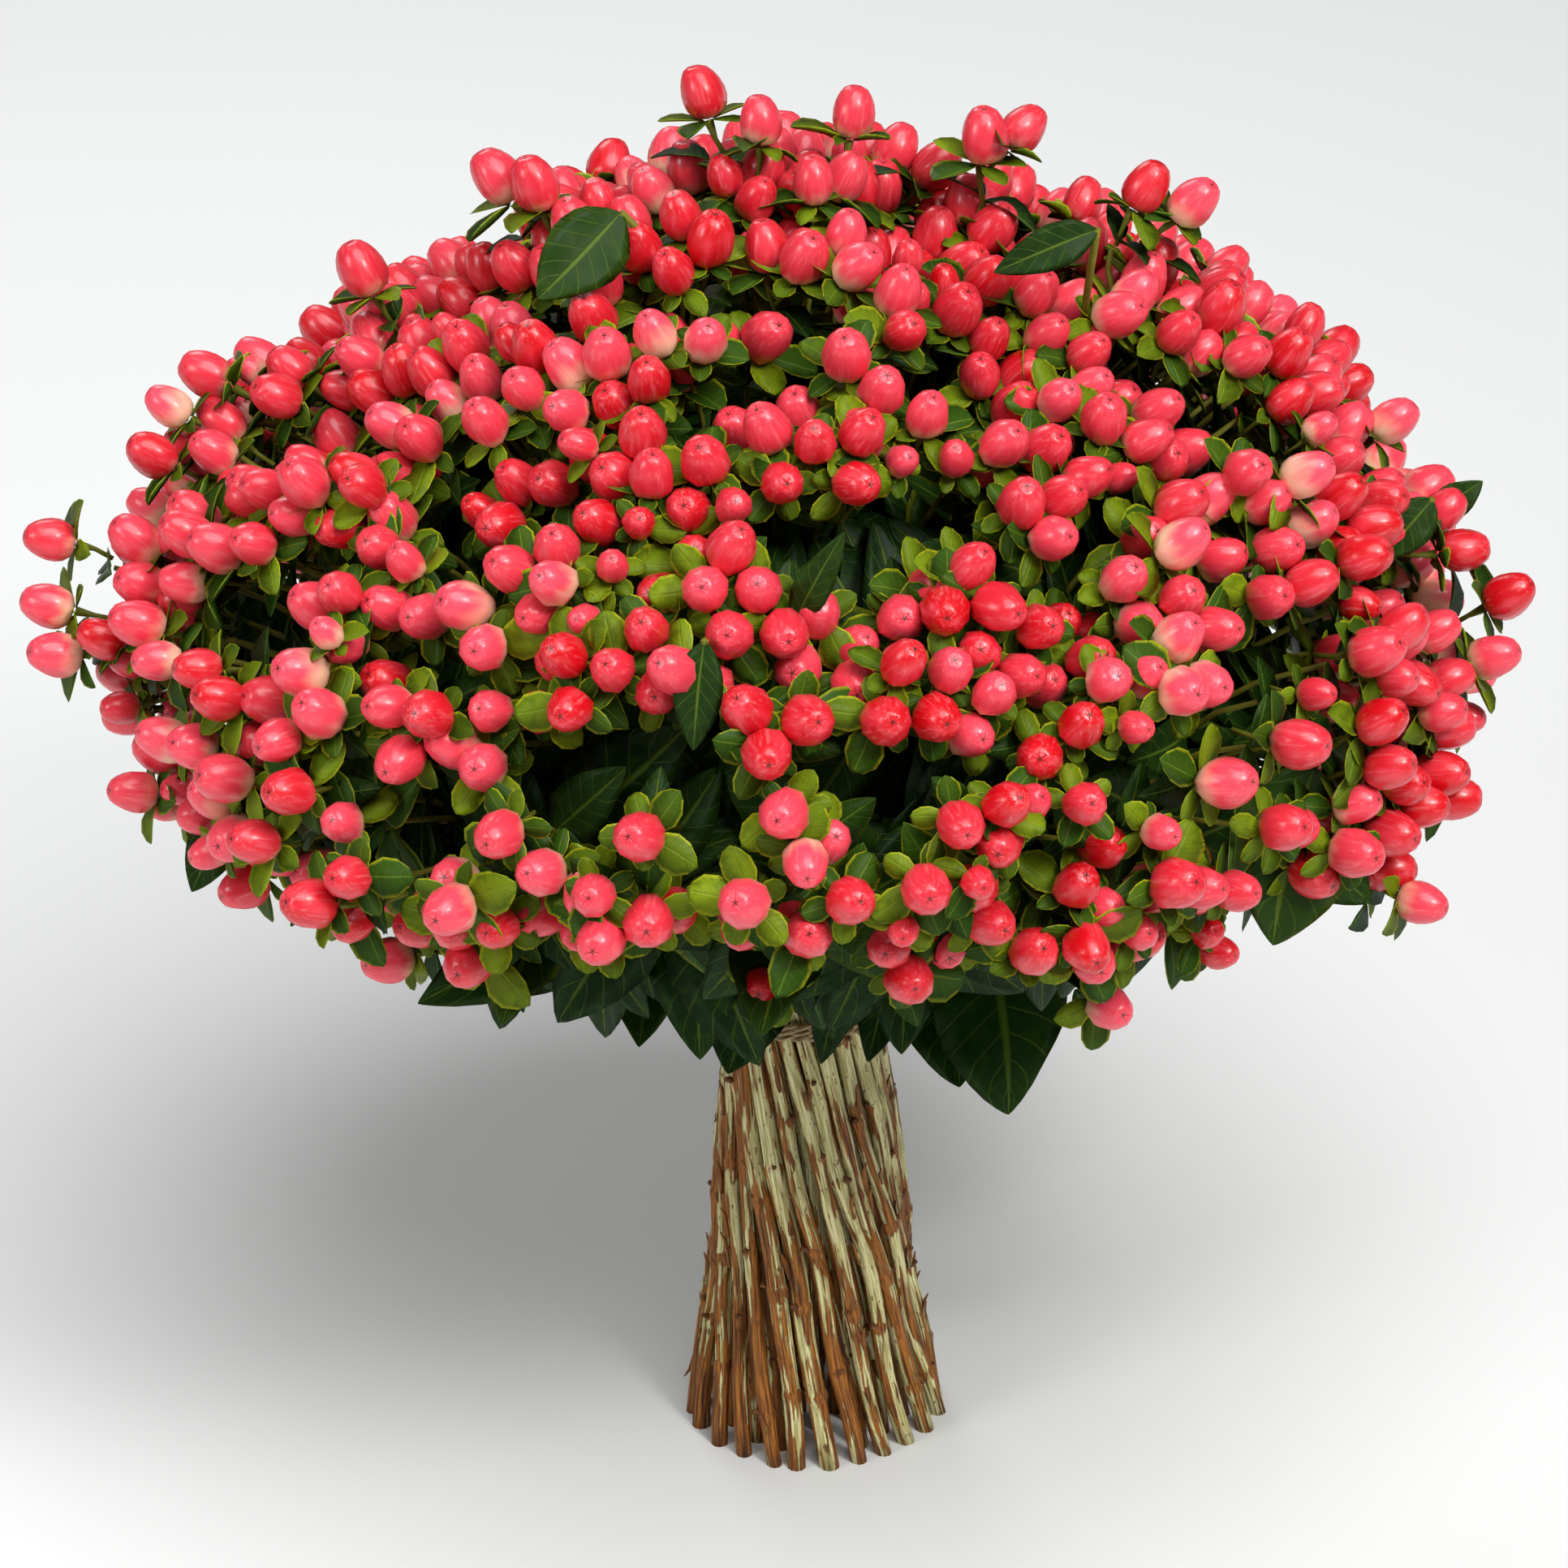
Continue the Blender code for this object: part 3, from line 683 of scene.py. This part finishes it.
for cyme in cymes:
    middle = sum((berry.middle for berry in cyme.berries), Vector()) / len(cyme.berries)
    cyme.fork = middle - cyme.outward * STALK_REACH - Vector((0, 0, 0.12 * STALK_REACH))
    path = cyme.stem.path
    if cyme.parent:
        root, rise = cyme.parent.fork, cyme.parent.outward
    else:
        nearest = len(path) - 3 - cyme.stem.draw.randrange(4)
        root, rise = path[nearest], (path[nearest + 1] - path[nearest]).normalized()
    reach = (cyme.fork - root).length
    toward = ((middle - cyme.fork).normalized() + cyme.outward).normalized()
    handles = (root, root + rise * reach * 0.35, cyme.fork - toward * reach * 0.35, cyme.fork)
    cyme.twig = [bezier(handles, t / 5) for t in range(6)]
    radii = [TWIG_RADIUS + (FORK_RADIUS - TWIG_RADIUS) * t / 5 for t in range(6)]
    grow_tube(cyme.stem.mesh, cyme.twig, radii, 5, LEAF, cyme.stem.draw.random(), [1.0] * 6)

# Berries: glossy capsules about 16 mm long, coral red and some with a cream base, in three to five soft lobes that
# pucker round a brown star at the tip. Under each, five unequal rounded sepals spread out with a yellow edge.

BERRY_SEGMENTS = 10
BERRY_RINGS = 10
DIMPLE_DEPTH = 1.5 * MM
DIMPLE_REACH = 0.26
PUCKER = 0.6 * MM
STALK_LENGTH = 11 * MM
STALK_RADIUS = 0.75 * MM
SPRIG_KINDS = 10
SEPAL_LENGTHS = (15 * MM, 11.5 * MM, 13.5 * MM, 10 * MM, 9 * MM)
SEPAL_COLUMNS = 2
SEPAL_ROWS = 6


def finish_template(mesh, name):
    data = bpy.data.meshes.new(name)
    mesh.to_mesh(data)
    mesh.free()
    return data


def add_berry_body(mesh, draw):
    """A capsule with soft lobes, its base at the origin and its sunken, puckered tip along +Z."""
    place = mesh.verts.layers.float_vector["place"]
    body = bmesh.ops.create_uvsphere(mesh, u_segments=BERRY_SEGMENTS, v_segments=BERRY_RINGS, radius=1)["verts"]
    taper = draw.uniform(0.20, 0.38)
    bend = draw.uniform(-0.07, 0.07)
    lopsided = draw.uniform(0.0, 0.09)
    base_lobes = draw.uniform(0.05, 0.15)
    base_phase = draw.uniform(0, 2 * math.pi)
    for vertex in body:
        turn = math.atan2(vertex.co.y, vertex.co.x)
        polar = math.acos(max(-1.0, min(1.0, vertex.co.z)))
        ring = math.sin(polar)
        height = (1 + math.cos(polar)) / 2
        folds = math.cos(5 * turn)
        full = ring**0.92
        lobe = 1 + 0.030 * folds * height + base_lobes * math.cos(3 * turn + base_phase) * (1 - height) ** 1.5
        lobe += lopsided * math.cos(turn + 2 * base_phase)
        radius = BERRY_RADIUS * full * lobe * (1 - taper * (height - 0.42))
        sunken = DIMPLE_DEPTH * math.exp(-((ring / DIMPLE_REACH) ** 2)) if height > 0.5 else 0.0
        rim = math.exp(-(((ring - 0.4) / 0.22) ** 2)) if height > 0.5 else 0.0
        notch = 0.9 * MM * math.exp(-((ring / 0.4) ** 2)) if height < 0.5 else 0.0
        vertex.co = (
            radius * math.cos(turn) + bend * BERRY_LENGTH * height**2,
            radius * math.sin(turn),
            BERRY_LENGTH * height - sunken + PUCKER * folds * rim + notch,
        )
        vertex[place] = (ring * math.cos(turn), ring * math.sin(turn), height)
    for face in {face for vertex in body for face in vertex.link_faces}:
        face.material_index = BERRY
        face.smooth = True


def add_blade(mesh, matrix, columns, rows, shape, thickness, youth, slot=LEAF):
    """A closed thin blade. shape(across, along) gives its upper face in unit length; both faces share its edge."""
    place = mesh.verts.layers.float_vector["place"]
    blade = bmesh.ops.create_grid(mesh, x_segments=columns, y_segments=rows, size=1)["verts"]
    inside = []
    for vertex in blade:
        across = vertex.co.x
        along = (1 - math.cos(math.pi * (vertex.co.y + 1) / 2)) / 2
        if abs(across) < 0.99 and 0.01 < along < 0.99:
            inside.append(vertex)
        vertex.co = shape(across, along)
        vertex[place] = (across, along, youth)
    top = list({face for vertex in blade for face in vertex.link_faces})
    copied = bmesh.ops.duplicate(mesh, geom=top + blade)
    under = [part for part in copied["geom"] if isinstance(part, bmesh.types.BMFace)]
    bmesh.ops.reverse_faces(mesh, faces=under)
    twins = copied["vert_map"]
    for vertex in inside:
        twins[vertex].co.z -= thickness
    below = [part for part in copied["geom"] if isinstance(part, bmesh.types.BMVert)]
    for face in top + under:
        face.material_index = slot
        face.smooth = True
    bmesh.ops.remove_doubles(mesh, verts=blade + below, dist=1e-5)
    merged = [vertex for vertex in blade + below if vertex.is_valid]
    bmesh.ops.transform(mesh, matrix=matrix, verts=merged)


def sepal_shape(width, cup, droop, twist):
    """A rounded blade, widest past its middle, cupped upwards along its rib."""

    def shape(across, along):
        half = width / 2 * math.sin(math.pi * along**1.3) ** 0.6
        rise = cup * abs(across) ** 1.6 * half * 2 - droop * along**2
        return across * half + twist * along**2, along, rise

    return shape


def add_calyx(mesh, draw):
    """Five sepals round the base of a berry, in a spiral of falling sizes."""
    spin = draw.uniform(0, 2 * math.pi)
    for i, full_length in enumerate(SEPAL_LENGTHS):
        length = draw.uniform(0.85, 1.1) * full_length
        turn = spin + i * 4 * math.pi / 5 + draw.uniform(-0.2, 0.2)
        tilt = draw.uniform(-0.25, 0.40)
        shape = sepal_shape(
            width=draw.uniform(0.56, 0.78),
            cup=draw.uniform(0.1, 0.35),
            droop=draw.uniform(-0.15, 0.30),
            twist=draw.uniform(-0.1, 0.1),
        )
        matrix = (
            Matrix.Rotation(turn, 4, "Z")
            @ Matrix.Translation((0, 1.2 * MM, 0.2 * MM))
            @ Matrix.Rotation(tilt, 4, "X")
            @ Matrix.Scale(length, 4)
        )
        add_blade(mesh, matrix, SEPAL_COLUMNS, SEPAL_ROWS, shape, 0.022, draw.uniform(0.35, 0.95))


sprigs = []
for kind in range(SPRIG_KINDS):
    draw = random.Random(SEED * 3 + kind)
    mesh = new_mesh()
    add_calyx(mesh, draw)
    add_berry_body(mesh, draw)
    bow = draw.uniform(-3, 3) * MM
    stalk = [Vector((bow * share**2, 0, -STALK_LENGTH * share)) for share in (1, 0.5, 0)]
    grow_tube(mesh, stalk, [STALK_RADIUS, STALK_RADIUS, 2 * STALK_RADIUS], 5, LEAF, 1.0, [0.6] * 3)
    bmesh.ops.translate(mesh, verts=mesh.verts, vec=(0, 0, -BERRY_LENGTH / 2))
    sprigs.append(finish_template(mesh, f"sprig_{kind}"))


def add_copy(mesh, template, matrix, tone):
    """Adds a transformed copy of a template mesh, with a tone of its own."""
    first = len(mesh.verts)
    mesh.from_mesh(template)
    mesh.verts.ensure_lookup_table()
    tones = mesh.verts.layers.float["tone"]
    added = mesh.verts[first:]
    bmesh.ops.transform(mesh, matrix=matrix, verts=added)
    for vertex in added:
        vertex[tones] = tone


def aimed(place, direction, spin, scale):
    """A matrix that stands a template's +Z along a direction at a place."""
    turn = direction.to_track_quat("Z", "Y").to_matrix().to_4x4()
    return Matrix.Translation(place) @ turn @ Matrix.Rotation(spin, 4, "Z") @ Matrix.Scale(scale, 4)


BERRY_LIFT = 0.04
BERRY_SWAY = 0.34
BLUSH = 0.42
BLUSH_SPREAD = 0.24

for cyme in cymes:
    draw = cyme.stem.draw
    blush = draw.gauss(BLUSH, BLUSH_SPREAD)
    for berry in cyme.berries:
        direction = (berry.middle - cyme.fork).normalized() + cyme.outward * 0.5 + Vector((0, 0, BERRY_LIFT))
        direction += Vector([draw.uniform(-BERRY_SWAY, BERRY_SWAY) for _ in range(3)])
        matrix = aimed(berry.middle, direction.normalized(), draw.uniform(0, 2 * math.pi), berry.size)
        tone = min(max(blush + draw.gauss(0, 0.12), 0), 0.99)
        add_copy(cyme.stem.mesh, draw.choice(sprigs), matrix, tone)

berry_finish, tree, shader = new_material("berry_skin", 0.34)
place = add_node(tree, "ShaderNodeAttribute", attribute_name="place").outputs["Vector"]
tone = add_node(tree, "ShaderNodeAttribute", attribute_name="tone").outputs["Fac"]
axes = add_node(tree, "ShaderNodeSeparateXYZ")
tree.links.new(place, axes.inputs[0])
x, y, height = axes.outputs
turn = add_math(tree, "ARCTAN2", y, x)
squared = add_math(tree, "ADD", add_math(tree, "MULTIPLY", x, x), add_math(tree, "MULTIPLY", y, y))
from_axis = add_math(tree, "SQRT", squared)
lobes = add_math(tree, "COSINE", add_math(tree, "MULTIPLY", turn, 5))
moved = add_node(tree, "ShaderNodeVectorMath", operation="MULTIPLY_ADD")
tree.links.new(tone, moved.inputs[0])
moved.inputs[1].default_value = (37, 25, 13)
tree.links.new(place, moved.inputs[2])
cloud = add_noise(tree, moved.outputs[0], 1.3, 2)
# Pale pink streaks drawn along each berry are a painted highlight, streaks of painted sheen; the same noise also
# raises fine ridges in the bump.
streak_sheen_and_ridges = add_noise(tree, moved.outputs[0], 6, 3, (1, 1, 0.10))
red = add_mix(tree, add_range(tree, tone, 0.0, 1.0), (0.62, 0.002, 0.008), (0.93, 0.072, 0.120))
red = add_mix(tree, add_range(tree, cloud, 0.40, 0.70, 0, 0.5), red, (0.90, 0.065, 0.10))
skin_with_painted_streak_sheen = add_mix(tree, add_range(tree, streak_sheen_and_ridges, 0.50, 0.75, 0, 0.30), red, (0.95, 0.26, 0.28))
paleness = add_math(tree, "ADD", add_math(tree, "MULTIPLY", tone, 0.55), add_math(tree, "MULTIPLY", cloud, 0.45))
base_cheek = add_math(tree, "SUBTRACT", paleness, add_math(tree, "MULTIPLY", height, 0.70))
cream = add_range(tree, base_cheek, 0.22, 0.56, 0, 0.85)
skin = add_mix(tree, cream, skin_with_painted_streak_sheen, (0.93, 0.62, 0.42))
near_tip = add_range(tree, height, 0.55, 0.75)
# Darker red in the valleys between the tip's lobes is painted shade in the creases; the same mask also sinks the
# creases in the bump.
crease_shade_and_grooves = add_math(tree, "MULTIPLY", add_range(tree, lobes, -0.45, -0.98), add_range(tree, from_axis, 0.50, 0.12))
crease_shade_and_grooves = add_math(tree, "MULTIPLY", crease_shade_and_grooves, near_tip)
skin = add_mix(tree, add_math(tree, "MULTIPLY", crease_shade_and_grooves, 0.32), skin, (0.36, 0.003, 0.010))
scar = add_math(tree, "SUBTRACT", from_axis, add_math(tree, "MULTIPLY", lobes, -0.05))
scar = add_math(tree, "MULTIPLY", add_range(tree, scar, 0.12, 0.05), near_tip)
skin = add_mix(tree, scar, skin, (0.055, 0.012, 0.006))
tree.links.new(skin, shader.inputs["Base Color"])
wrinkles = add_math(tree, "MULTIPLY", add_noise(tree, moved.outputs[0], 5, 2), add_range(tree, from_axis, 0.7, 0.2))
relief = add_math(tree, "SUBTRACT", wrinkles, crease_shade_and_grooves)
relief = add_math(tree, "ADD", relief, add_math(tree, "MULTIPLY", streak_sheen_and_ridges, 0.35))
add_bump(tree, shader, relief, 0.5 * MM, 0.5)
shader.inputs["Coat Weight"].default_value = 0.25
shader.inputs["Coat Roughness"].default_value = 0.14
shader.inputs["Specular IOR Level"].default_value = 0.42

# Leaves: a pair of small bracts at every fork, longer leaves on the twigs under the berries, and one large veined
# leaf on each outer stem, in turn at the neck and under the rim. They are dark green with a paler rib and edge.

LEAF_KINDS = 6
BIG_LEAF_LENGTH = 49 * MM
NECK_LEAF_FALL = (1.0, -1.05)
RIM_LEAF_FALL = (1.0, -0.08)
RIM_LEAF_ROOT = 0.66
LARGE_LEAF_STALK = 1.1 * MM
INNER_LEAF_LENGTHS = (44 * MM, 54 * MM)
BRACT_LENGTHS = (12 * MM, 18 * MM)
TWIG_LEAF_LENGTHS = (28 * MM, 42 * MM)


# Large leaves: where each one's root and tip show in the photo, how far back they are, and how broad it is
LARGE_LEAVES = (
    ((1215, 1150), -60 * MM, (1273, 1348), -100 * MM, 1.40),
    ((1150, 1165), -50 * MM, (1203, 1315), -85 * MM, 1.30),
    ((795, 1095), -75 * MM, (556, 1203), -125 * MM, 0.75),
    ((805, 1120), -55 * MM, (795, 1275), -95 * MM, 0.85),
    ((770, 1125), -60 * MM, (722, 1225), -90 * MM, 1.15),
    ((840, 1125), -55 * MM, (838, 1240), -80 * MM, 1.05),
    ((940, 1170), -55 * MM, (905, 1320), -80 * MM, 1.10),
    ((1052, 1150), -60 * MM, (1008, 1300), -84 * MM, 0.72),
    ((1108, 1165), -62 * MM, (1066, 1300), -86 * MM, 0.80),
    ((372, 800), 25 * MM, (262, 738), 15 * MM, 1.10),
    ((235, 815), 15 * MM, (338, 742), 20 * MM, 1.10),
    ((1620, 945), -90 * MM, (1545, 1147), -115 * MM, 1.25),
    ((1590, 1030), -75 * MM, (1692, 1108), -85 * MM, 1.10),
    ((280, 1005), -70 * MM, (234, 1090), -85 * MM, 1.10),
    ((765, 262), -40 * MM, (672, 368), -60 * MM, 1.10),
    ((1352, 283), -50 * MM, (1232, 327), -60 * MM, 0.75),
    ((1765, 640), -10 * MM, (1818, 588), -10 * MM, 1.10),
    ((1765, 615), -30 * MM, (1703, 690), -40 * MM, 1.00),
    ((980, 765), -140 * MM, (1024, 668), -150 * MM, 0.60),
    ((868, 790), -160 * MM, (848, 925), -172 * MM, 0.80),
)


def leaf_shape(width, fold, droop, waves, draw):
    """A pointed oval blade, creased along its rib, with a waved edge and quilting between its side veins."""
    phase = draw.uniform(0, 6)
    bend = draw.uniform(-0.12, 0.12)

    def shape(across, along):
        half = width / 2 * math.sin(math.pi * along**0.85) ** 0.8
        wave = waves * math.sin(along * 17 + phase + (1.4 if across > 0 else 0)) * across * across
        quilt = 0.006 * math.sin(along * 42 - abs(across) * 8) * (1 - abs(across))
        rise = fold * abs(across) * half * 2 + (wave + quilt) * (half / width) - droop * along**2
        return across * half + bend * along**2, along, rise

    return shape


def leaf_templates(name, columns, rows, width, fold, droop, waves, thickness, youth):
    made = []
    for kind in range(LEAF_KINDS):
        draw = random.Random(f"{name}{kind}")
        mesh = new_mesh()
        shape = leaf_shape(width * draw.uniform(0.9, 1.1), fold, droop * draw.uniform(0.4, 1.6), waves, draw)
        add_blade(mesh, Matrix.Identity(4), columns, rows, shape, thickness, draw.uniform(*youth))
        made.append(finish_template(mesh, f"{name}_{kind}"))
    return made


bracts = leaf_templates("bract", 2, 7, 0.66, 0.18, 0.25, 0.03, 0.02, (0.05, 0.4))
twig_leaves = leaf_templates("twig_leaf", 4, 8, 0.5, 0.16, 0.3, 0.06, 0.012, (0.0, 0.2))
big_leaves = leaf_templates("big_leaf", 6, 14, 0.56, 0.12, 0.22, 0.09, 0.008, (0.0, 0.08))


def laid(root, direction, facing, length, breadth=1.0):
    """A matrix that lays a blade template along a direction, its upper face towards facing."""
    direction = direction.normalized()
    side = direction.cross(facing).normalized()
    facing = side.cross(direction)
    turn = Matrix((side, direction, facing)).transposed().to_4x4()
    return Matrix.Translation(root) @ turn @ Matrix.Diagonal((length * breadth, length, length, 1))


for cyme in cymes:
    draw = cyme.stem.draw
    mesh = cyme.stem.mesh
    side, up = plane_across(cyme.outward)
    way = draw.uniform(0, 2 * math.pi)
    across = side * math.cos(way) + up * math.sin(way)
    for sign in (1, -1):
        direction = across * sign + cyme.outward * draw.uniform(0.1, 0.7)
        root = cyme.fork + cyme.outward * draw.uniform(0, 3) * MM
        matrix = laid(root, direction, cyme.outward, draw.uniform(*BRACT_LENGTHS))
        add_copy(mesh, draw.choice(bracts), matrix, draw.random())
    if cyme.parent:
        continue
    across = side * math.sin(way) - up * math.cos(way)
    for sign in (1, -1):
        direction = across * sign + cyme.outward * draw.uniform(0.0, 0.5)
        matrix = laid(cyme.twig[3], direction, cyme.outward, draw.uniform(*TWIG_LEAF_LENGTHS))
        add_copy(mesh, draw.choice(twig_leaves), matrix, draw.random())
    ways = (1, -1) if cyme.stem.ring >= OUTER_RING - 1 else (1,)
    for sign, twig_point in zip(ways, cyme.twig[1:3]):
        direction = across * sign + cyme.outward * 0.3
        matrix = laid(twig_point, direction, cyme.outward, draw.uniform(*INNER_LEAF_LENGTHS))
        add_copy(mesh, draw.choice(twig_leaves), matrix, 0.0)

for stem in leafy_stems:
    if stem.ring != OUTER_RING:
        continue
    draw = stem.draw
    if stem.number % 2 == 0:
        root = stem.path[-4]
        out = turned(NECK_LEAF_FALL, stem.foot_azimuth + TWIST_SIGN * HEAD_TWIST * 0.75)
    else:
        lowest = outline_at(stem.arc_high - 10 * MM)
        root = in_space(HUB + (lowest - HUB) * RIM_LEAF_ROOT, stem.azimuth)
        out = turned(RIM_LEAF_FALL, stem.azimuth)
    matrix = laid(root, out, Vector((0, 0, 1)), BIG_LEAF_LENGTH)
    add_copy(stem.mesh, draw.choice(big_leaves), matrix, draw.random())

for root_pixel, root_depth, tip_pixel, tip_depth, breadth in LARGE_LEAVES:
    root, tip = seen_at(root_pixel, root_depth), seen_at(tip_pixel, tip_depth)
    ends = [cyme.fork for cyme in cymes] + [stem.path[-5] for stem in leafy_stems]
    owners = [cyme.stem for cyme in cymes] + leafy_stems
    nearest = min(range(len(ends)), key=lambda i: (ends[i] - root).length)
    stem = owners[nearest]
    stalk = [ends[nearest], ends[nearest].lerp(root, 0.5) + Vector((0, 0, 2 * MM)), root]
    grow_tube(stem.mesh, stalk, [LARGE_LEAF_STALK] * 3, 5, LEAF, 0.5, [0.8] * 3)
    facing = CAMERA_PLACE - root
    matrix = laid(root, tip - root, facing, (tip - root).length, breadth)
    add_copy(stem.mesh, stem.draw.choice(big_leaves), matrix, stem.draw.random())

leaf_finish, tree, shader = new_material("leaf_green", 0.45)
place = add_node(tree, "ShaderNodeAttribute", attribute_name="place").outputs["Vector"]
tone = add_node(tree, "ShaderNodeAttribute", attribute_name="tone").outputs["Fac"]
woody = add_node(tree, "ShaderNodeAttribute", attribute_name="woody").outputs["Fac"]
axes = add_node(tree, "ShaderNodeSeparateXYZ")
tree.links.new(place, axes.inputs[0])
across, along, youth = axes.outputs
off_rib = add_math(tree, "ABSOLUTE", across)
body_coordinates = add_node(tree, "ShaderNodeTexCoord").outputs["Object"]
mottle = add_noise(tree, body_coordinates, 260, 3)
fresh = add_math(tree, "ADD", youth, add_math(tree, "MULTIPLY", tone, 0.15))
green = add_mix(tree, add_range(tree, fresh, 0.0, 0.45), (0.007, 0.026, 0.004), (0.030, 0.080, 0.005))
green = add_mix(tree, add_range(tree, fresh, 0.45, 1.1), green, (0.195, 0.270, 0.006))
green = add_mix(tree, add_range(tree, mottle, 0.45, 0.75, 0, 0.5), green, (0.030, 0.070, 0.004))
veins = add_math(tree, "SUBTRACT", add_math(tree, "MULTIPLY", along, 7), add_math(tree, "MULTIPLY", off_rib, 1.6))
veins = add_math(tree, "PINGPONG", veins, 0.5)
vein_mask = add_range(tree, veins, 0.07, 0.01)
rib = add_range(tree, off_rib, 0.09, 0.02)
vein_mask = add_math(tree, "MAXIMUM", add_math(tree, "MULTIPLY", vein_mask, 0.5), rib)
green = add_mix(tree, add_math(tree, "MULTIPLY", vein_mask, 0.35), green, (0.20, 0.30, 0.03))
edge = add_range(tree, off_rib, 0.78, 0.96)
edge = add_math(tree, "MULTIPLY", edge, add_range(tree, fresh, 0.10, 0.60, 0, 0.85))
green = add_mix(tree, edge, green, (0.42, 0.44, 0.012))
twig_green = add_mix(tree, mottle, (0.10, 0.085, 0.010), (0.26, 0.25, 0.03))
green = add_mix(tree, woody, green, twig_green)
tree.links.new(green, shader.inputs["Base Color"])
relief = add_math(tree, "SUBTRACT", mottle, add_math(tree, "MULTIPLY", vein_mask, 1.2))
add_bump(tree, shader, relief, 0.25 * MM, 0.6)
shader.inputs["Specular IOR Level"].default_value = 0.12

for stem in leafy_stems:
    data = bpy.data.meshes.new(f"leafy_stem_{stem.number:02d}")
    stem.mesh.to_mesh(data)
    stem.mesh.free()
    for finish in (bark_finish, leaf_finish, berry_finish):
        data.materials.append(finish)
    piece = bpy.data.objects.new(data.name, data)
    bpy.context.scene.collection.objects.link(piece)
    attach(piece, "root")
    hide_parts(f"stem_{stem.number:02d}")

# Tie: three turns of rough brown twine of two twisted strands, wound tightly round the bundle at its narrowest
# place. It holds the spiral together, and the leaves hide most of it.

TWINE_THICKNESS = 2.6 * MM
TWINE_TURNS = 3
STRAND_RADIUS = 0.75 * MM
TWISTS_PER_TURN = 18
STEPS_PER_TWIST = 8

tie_low, tie_high = (Vector(corner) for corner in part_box("binding_tie"))
tie_middle = (tie_low + tie_high) / 2
tie_radius = (tie_high.x - tie_low.x - TWINE_THICKNESS) / 2
tie_rise = tie_high.z - tie_low.z - TWINE_THICKNESS
mesh = new_mesh()
for strand in range(2):
    path = []
    steps = TWINE_TURNS * TWISTS_PER_TURN * STEPS_PER_TWIST
    for i in range(steps + 1):
        share = i / steps
        out = turned((1, 0), 2 * math.pi * (TWINE_TURNS * share + 0.25))
        twist = math.pi * strand + 2 * math.pi * i / STEPS_PER_TWIST
        height = tie_low.z + TWINE_THICKNESS / 2 + tie_rise * share
        radius = tie_radius + STRAND_RADIUS * 0.8 * math.cos(twist)
        lift = STRAND_RADIUS * 0.8 * math.sin(twist)
        path.append(Vector((tie_middle.x, tie_middle.y, height + lift)) + out * radius)
    grow_tube(mesh, path, [STRAND_RADIUS] * len(path), 5, 0, 0.5, [0.0] * len(path))
twine_data = finish_template(mesh, "twine_binding")
twine_finish, tree, shader = new_material("rough_twine", 0.85)
twine_place = add_node(tree, "ShaderNodeAttribute", attribute_name="place").outputs["Vector"]
fibre = add_noise(tree, twine_place, 1800, 4, (1, 1, 0.15))
fuzz = add_noise(tree, twine_place, 500, 2)
fibre_colour = add_mix(tree, add_range(tree, fibre, 0.3, 0.7), (0.16, 0.10, 0.04), (0.52, 0.38, 0.20))
tree.links.new(fibre_colour, shader.inputs["Base Color"])
add_bump(tree, shader, add_math(tree, "ADD", fibre, fuzz), 0.4 * MM)
twine_data.materials.append(twine_finish)
twine = bpy.data.objects.new("twine_binding", twine_data)
bpy.context.scene.collection.objects.link(twine)
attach(twine, "root")
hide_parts("binding_tie")

for template in [*sprigs, *bracts, *twig_leaves, *big_leaves]:
    bpy.data.meshes.remove(template)
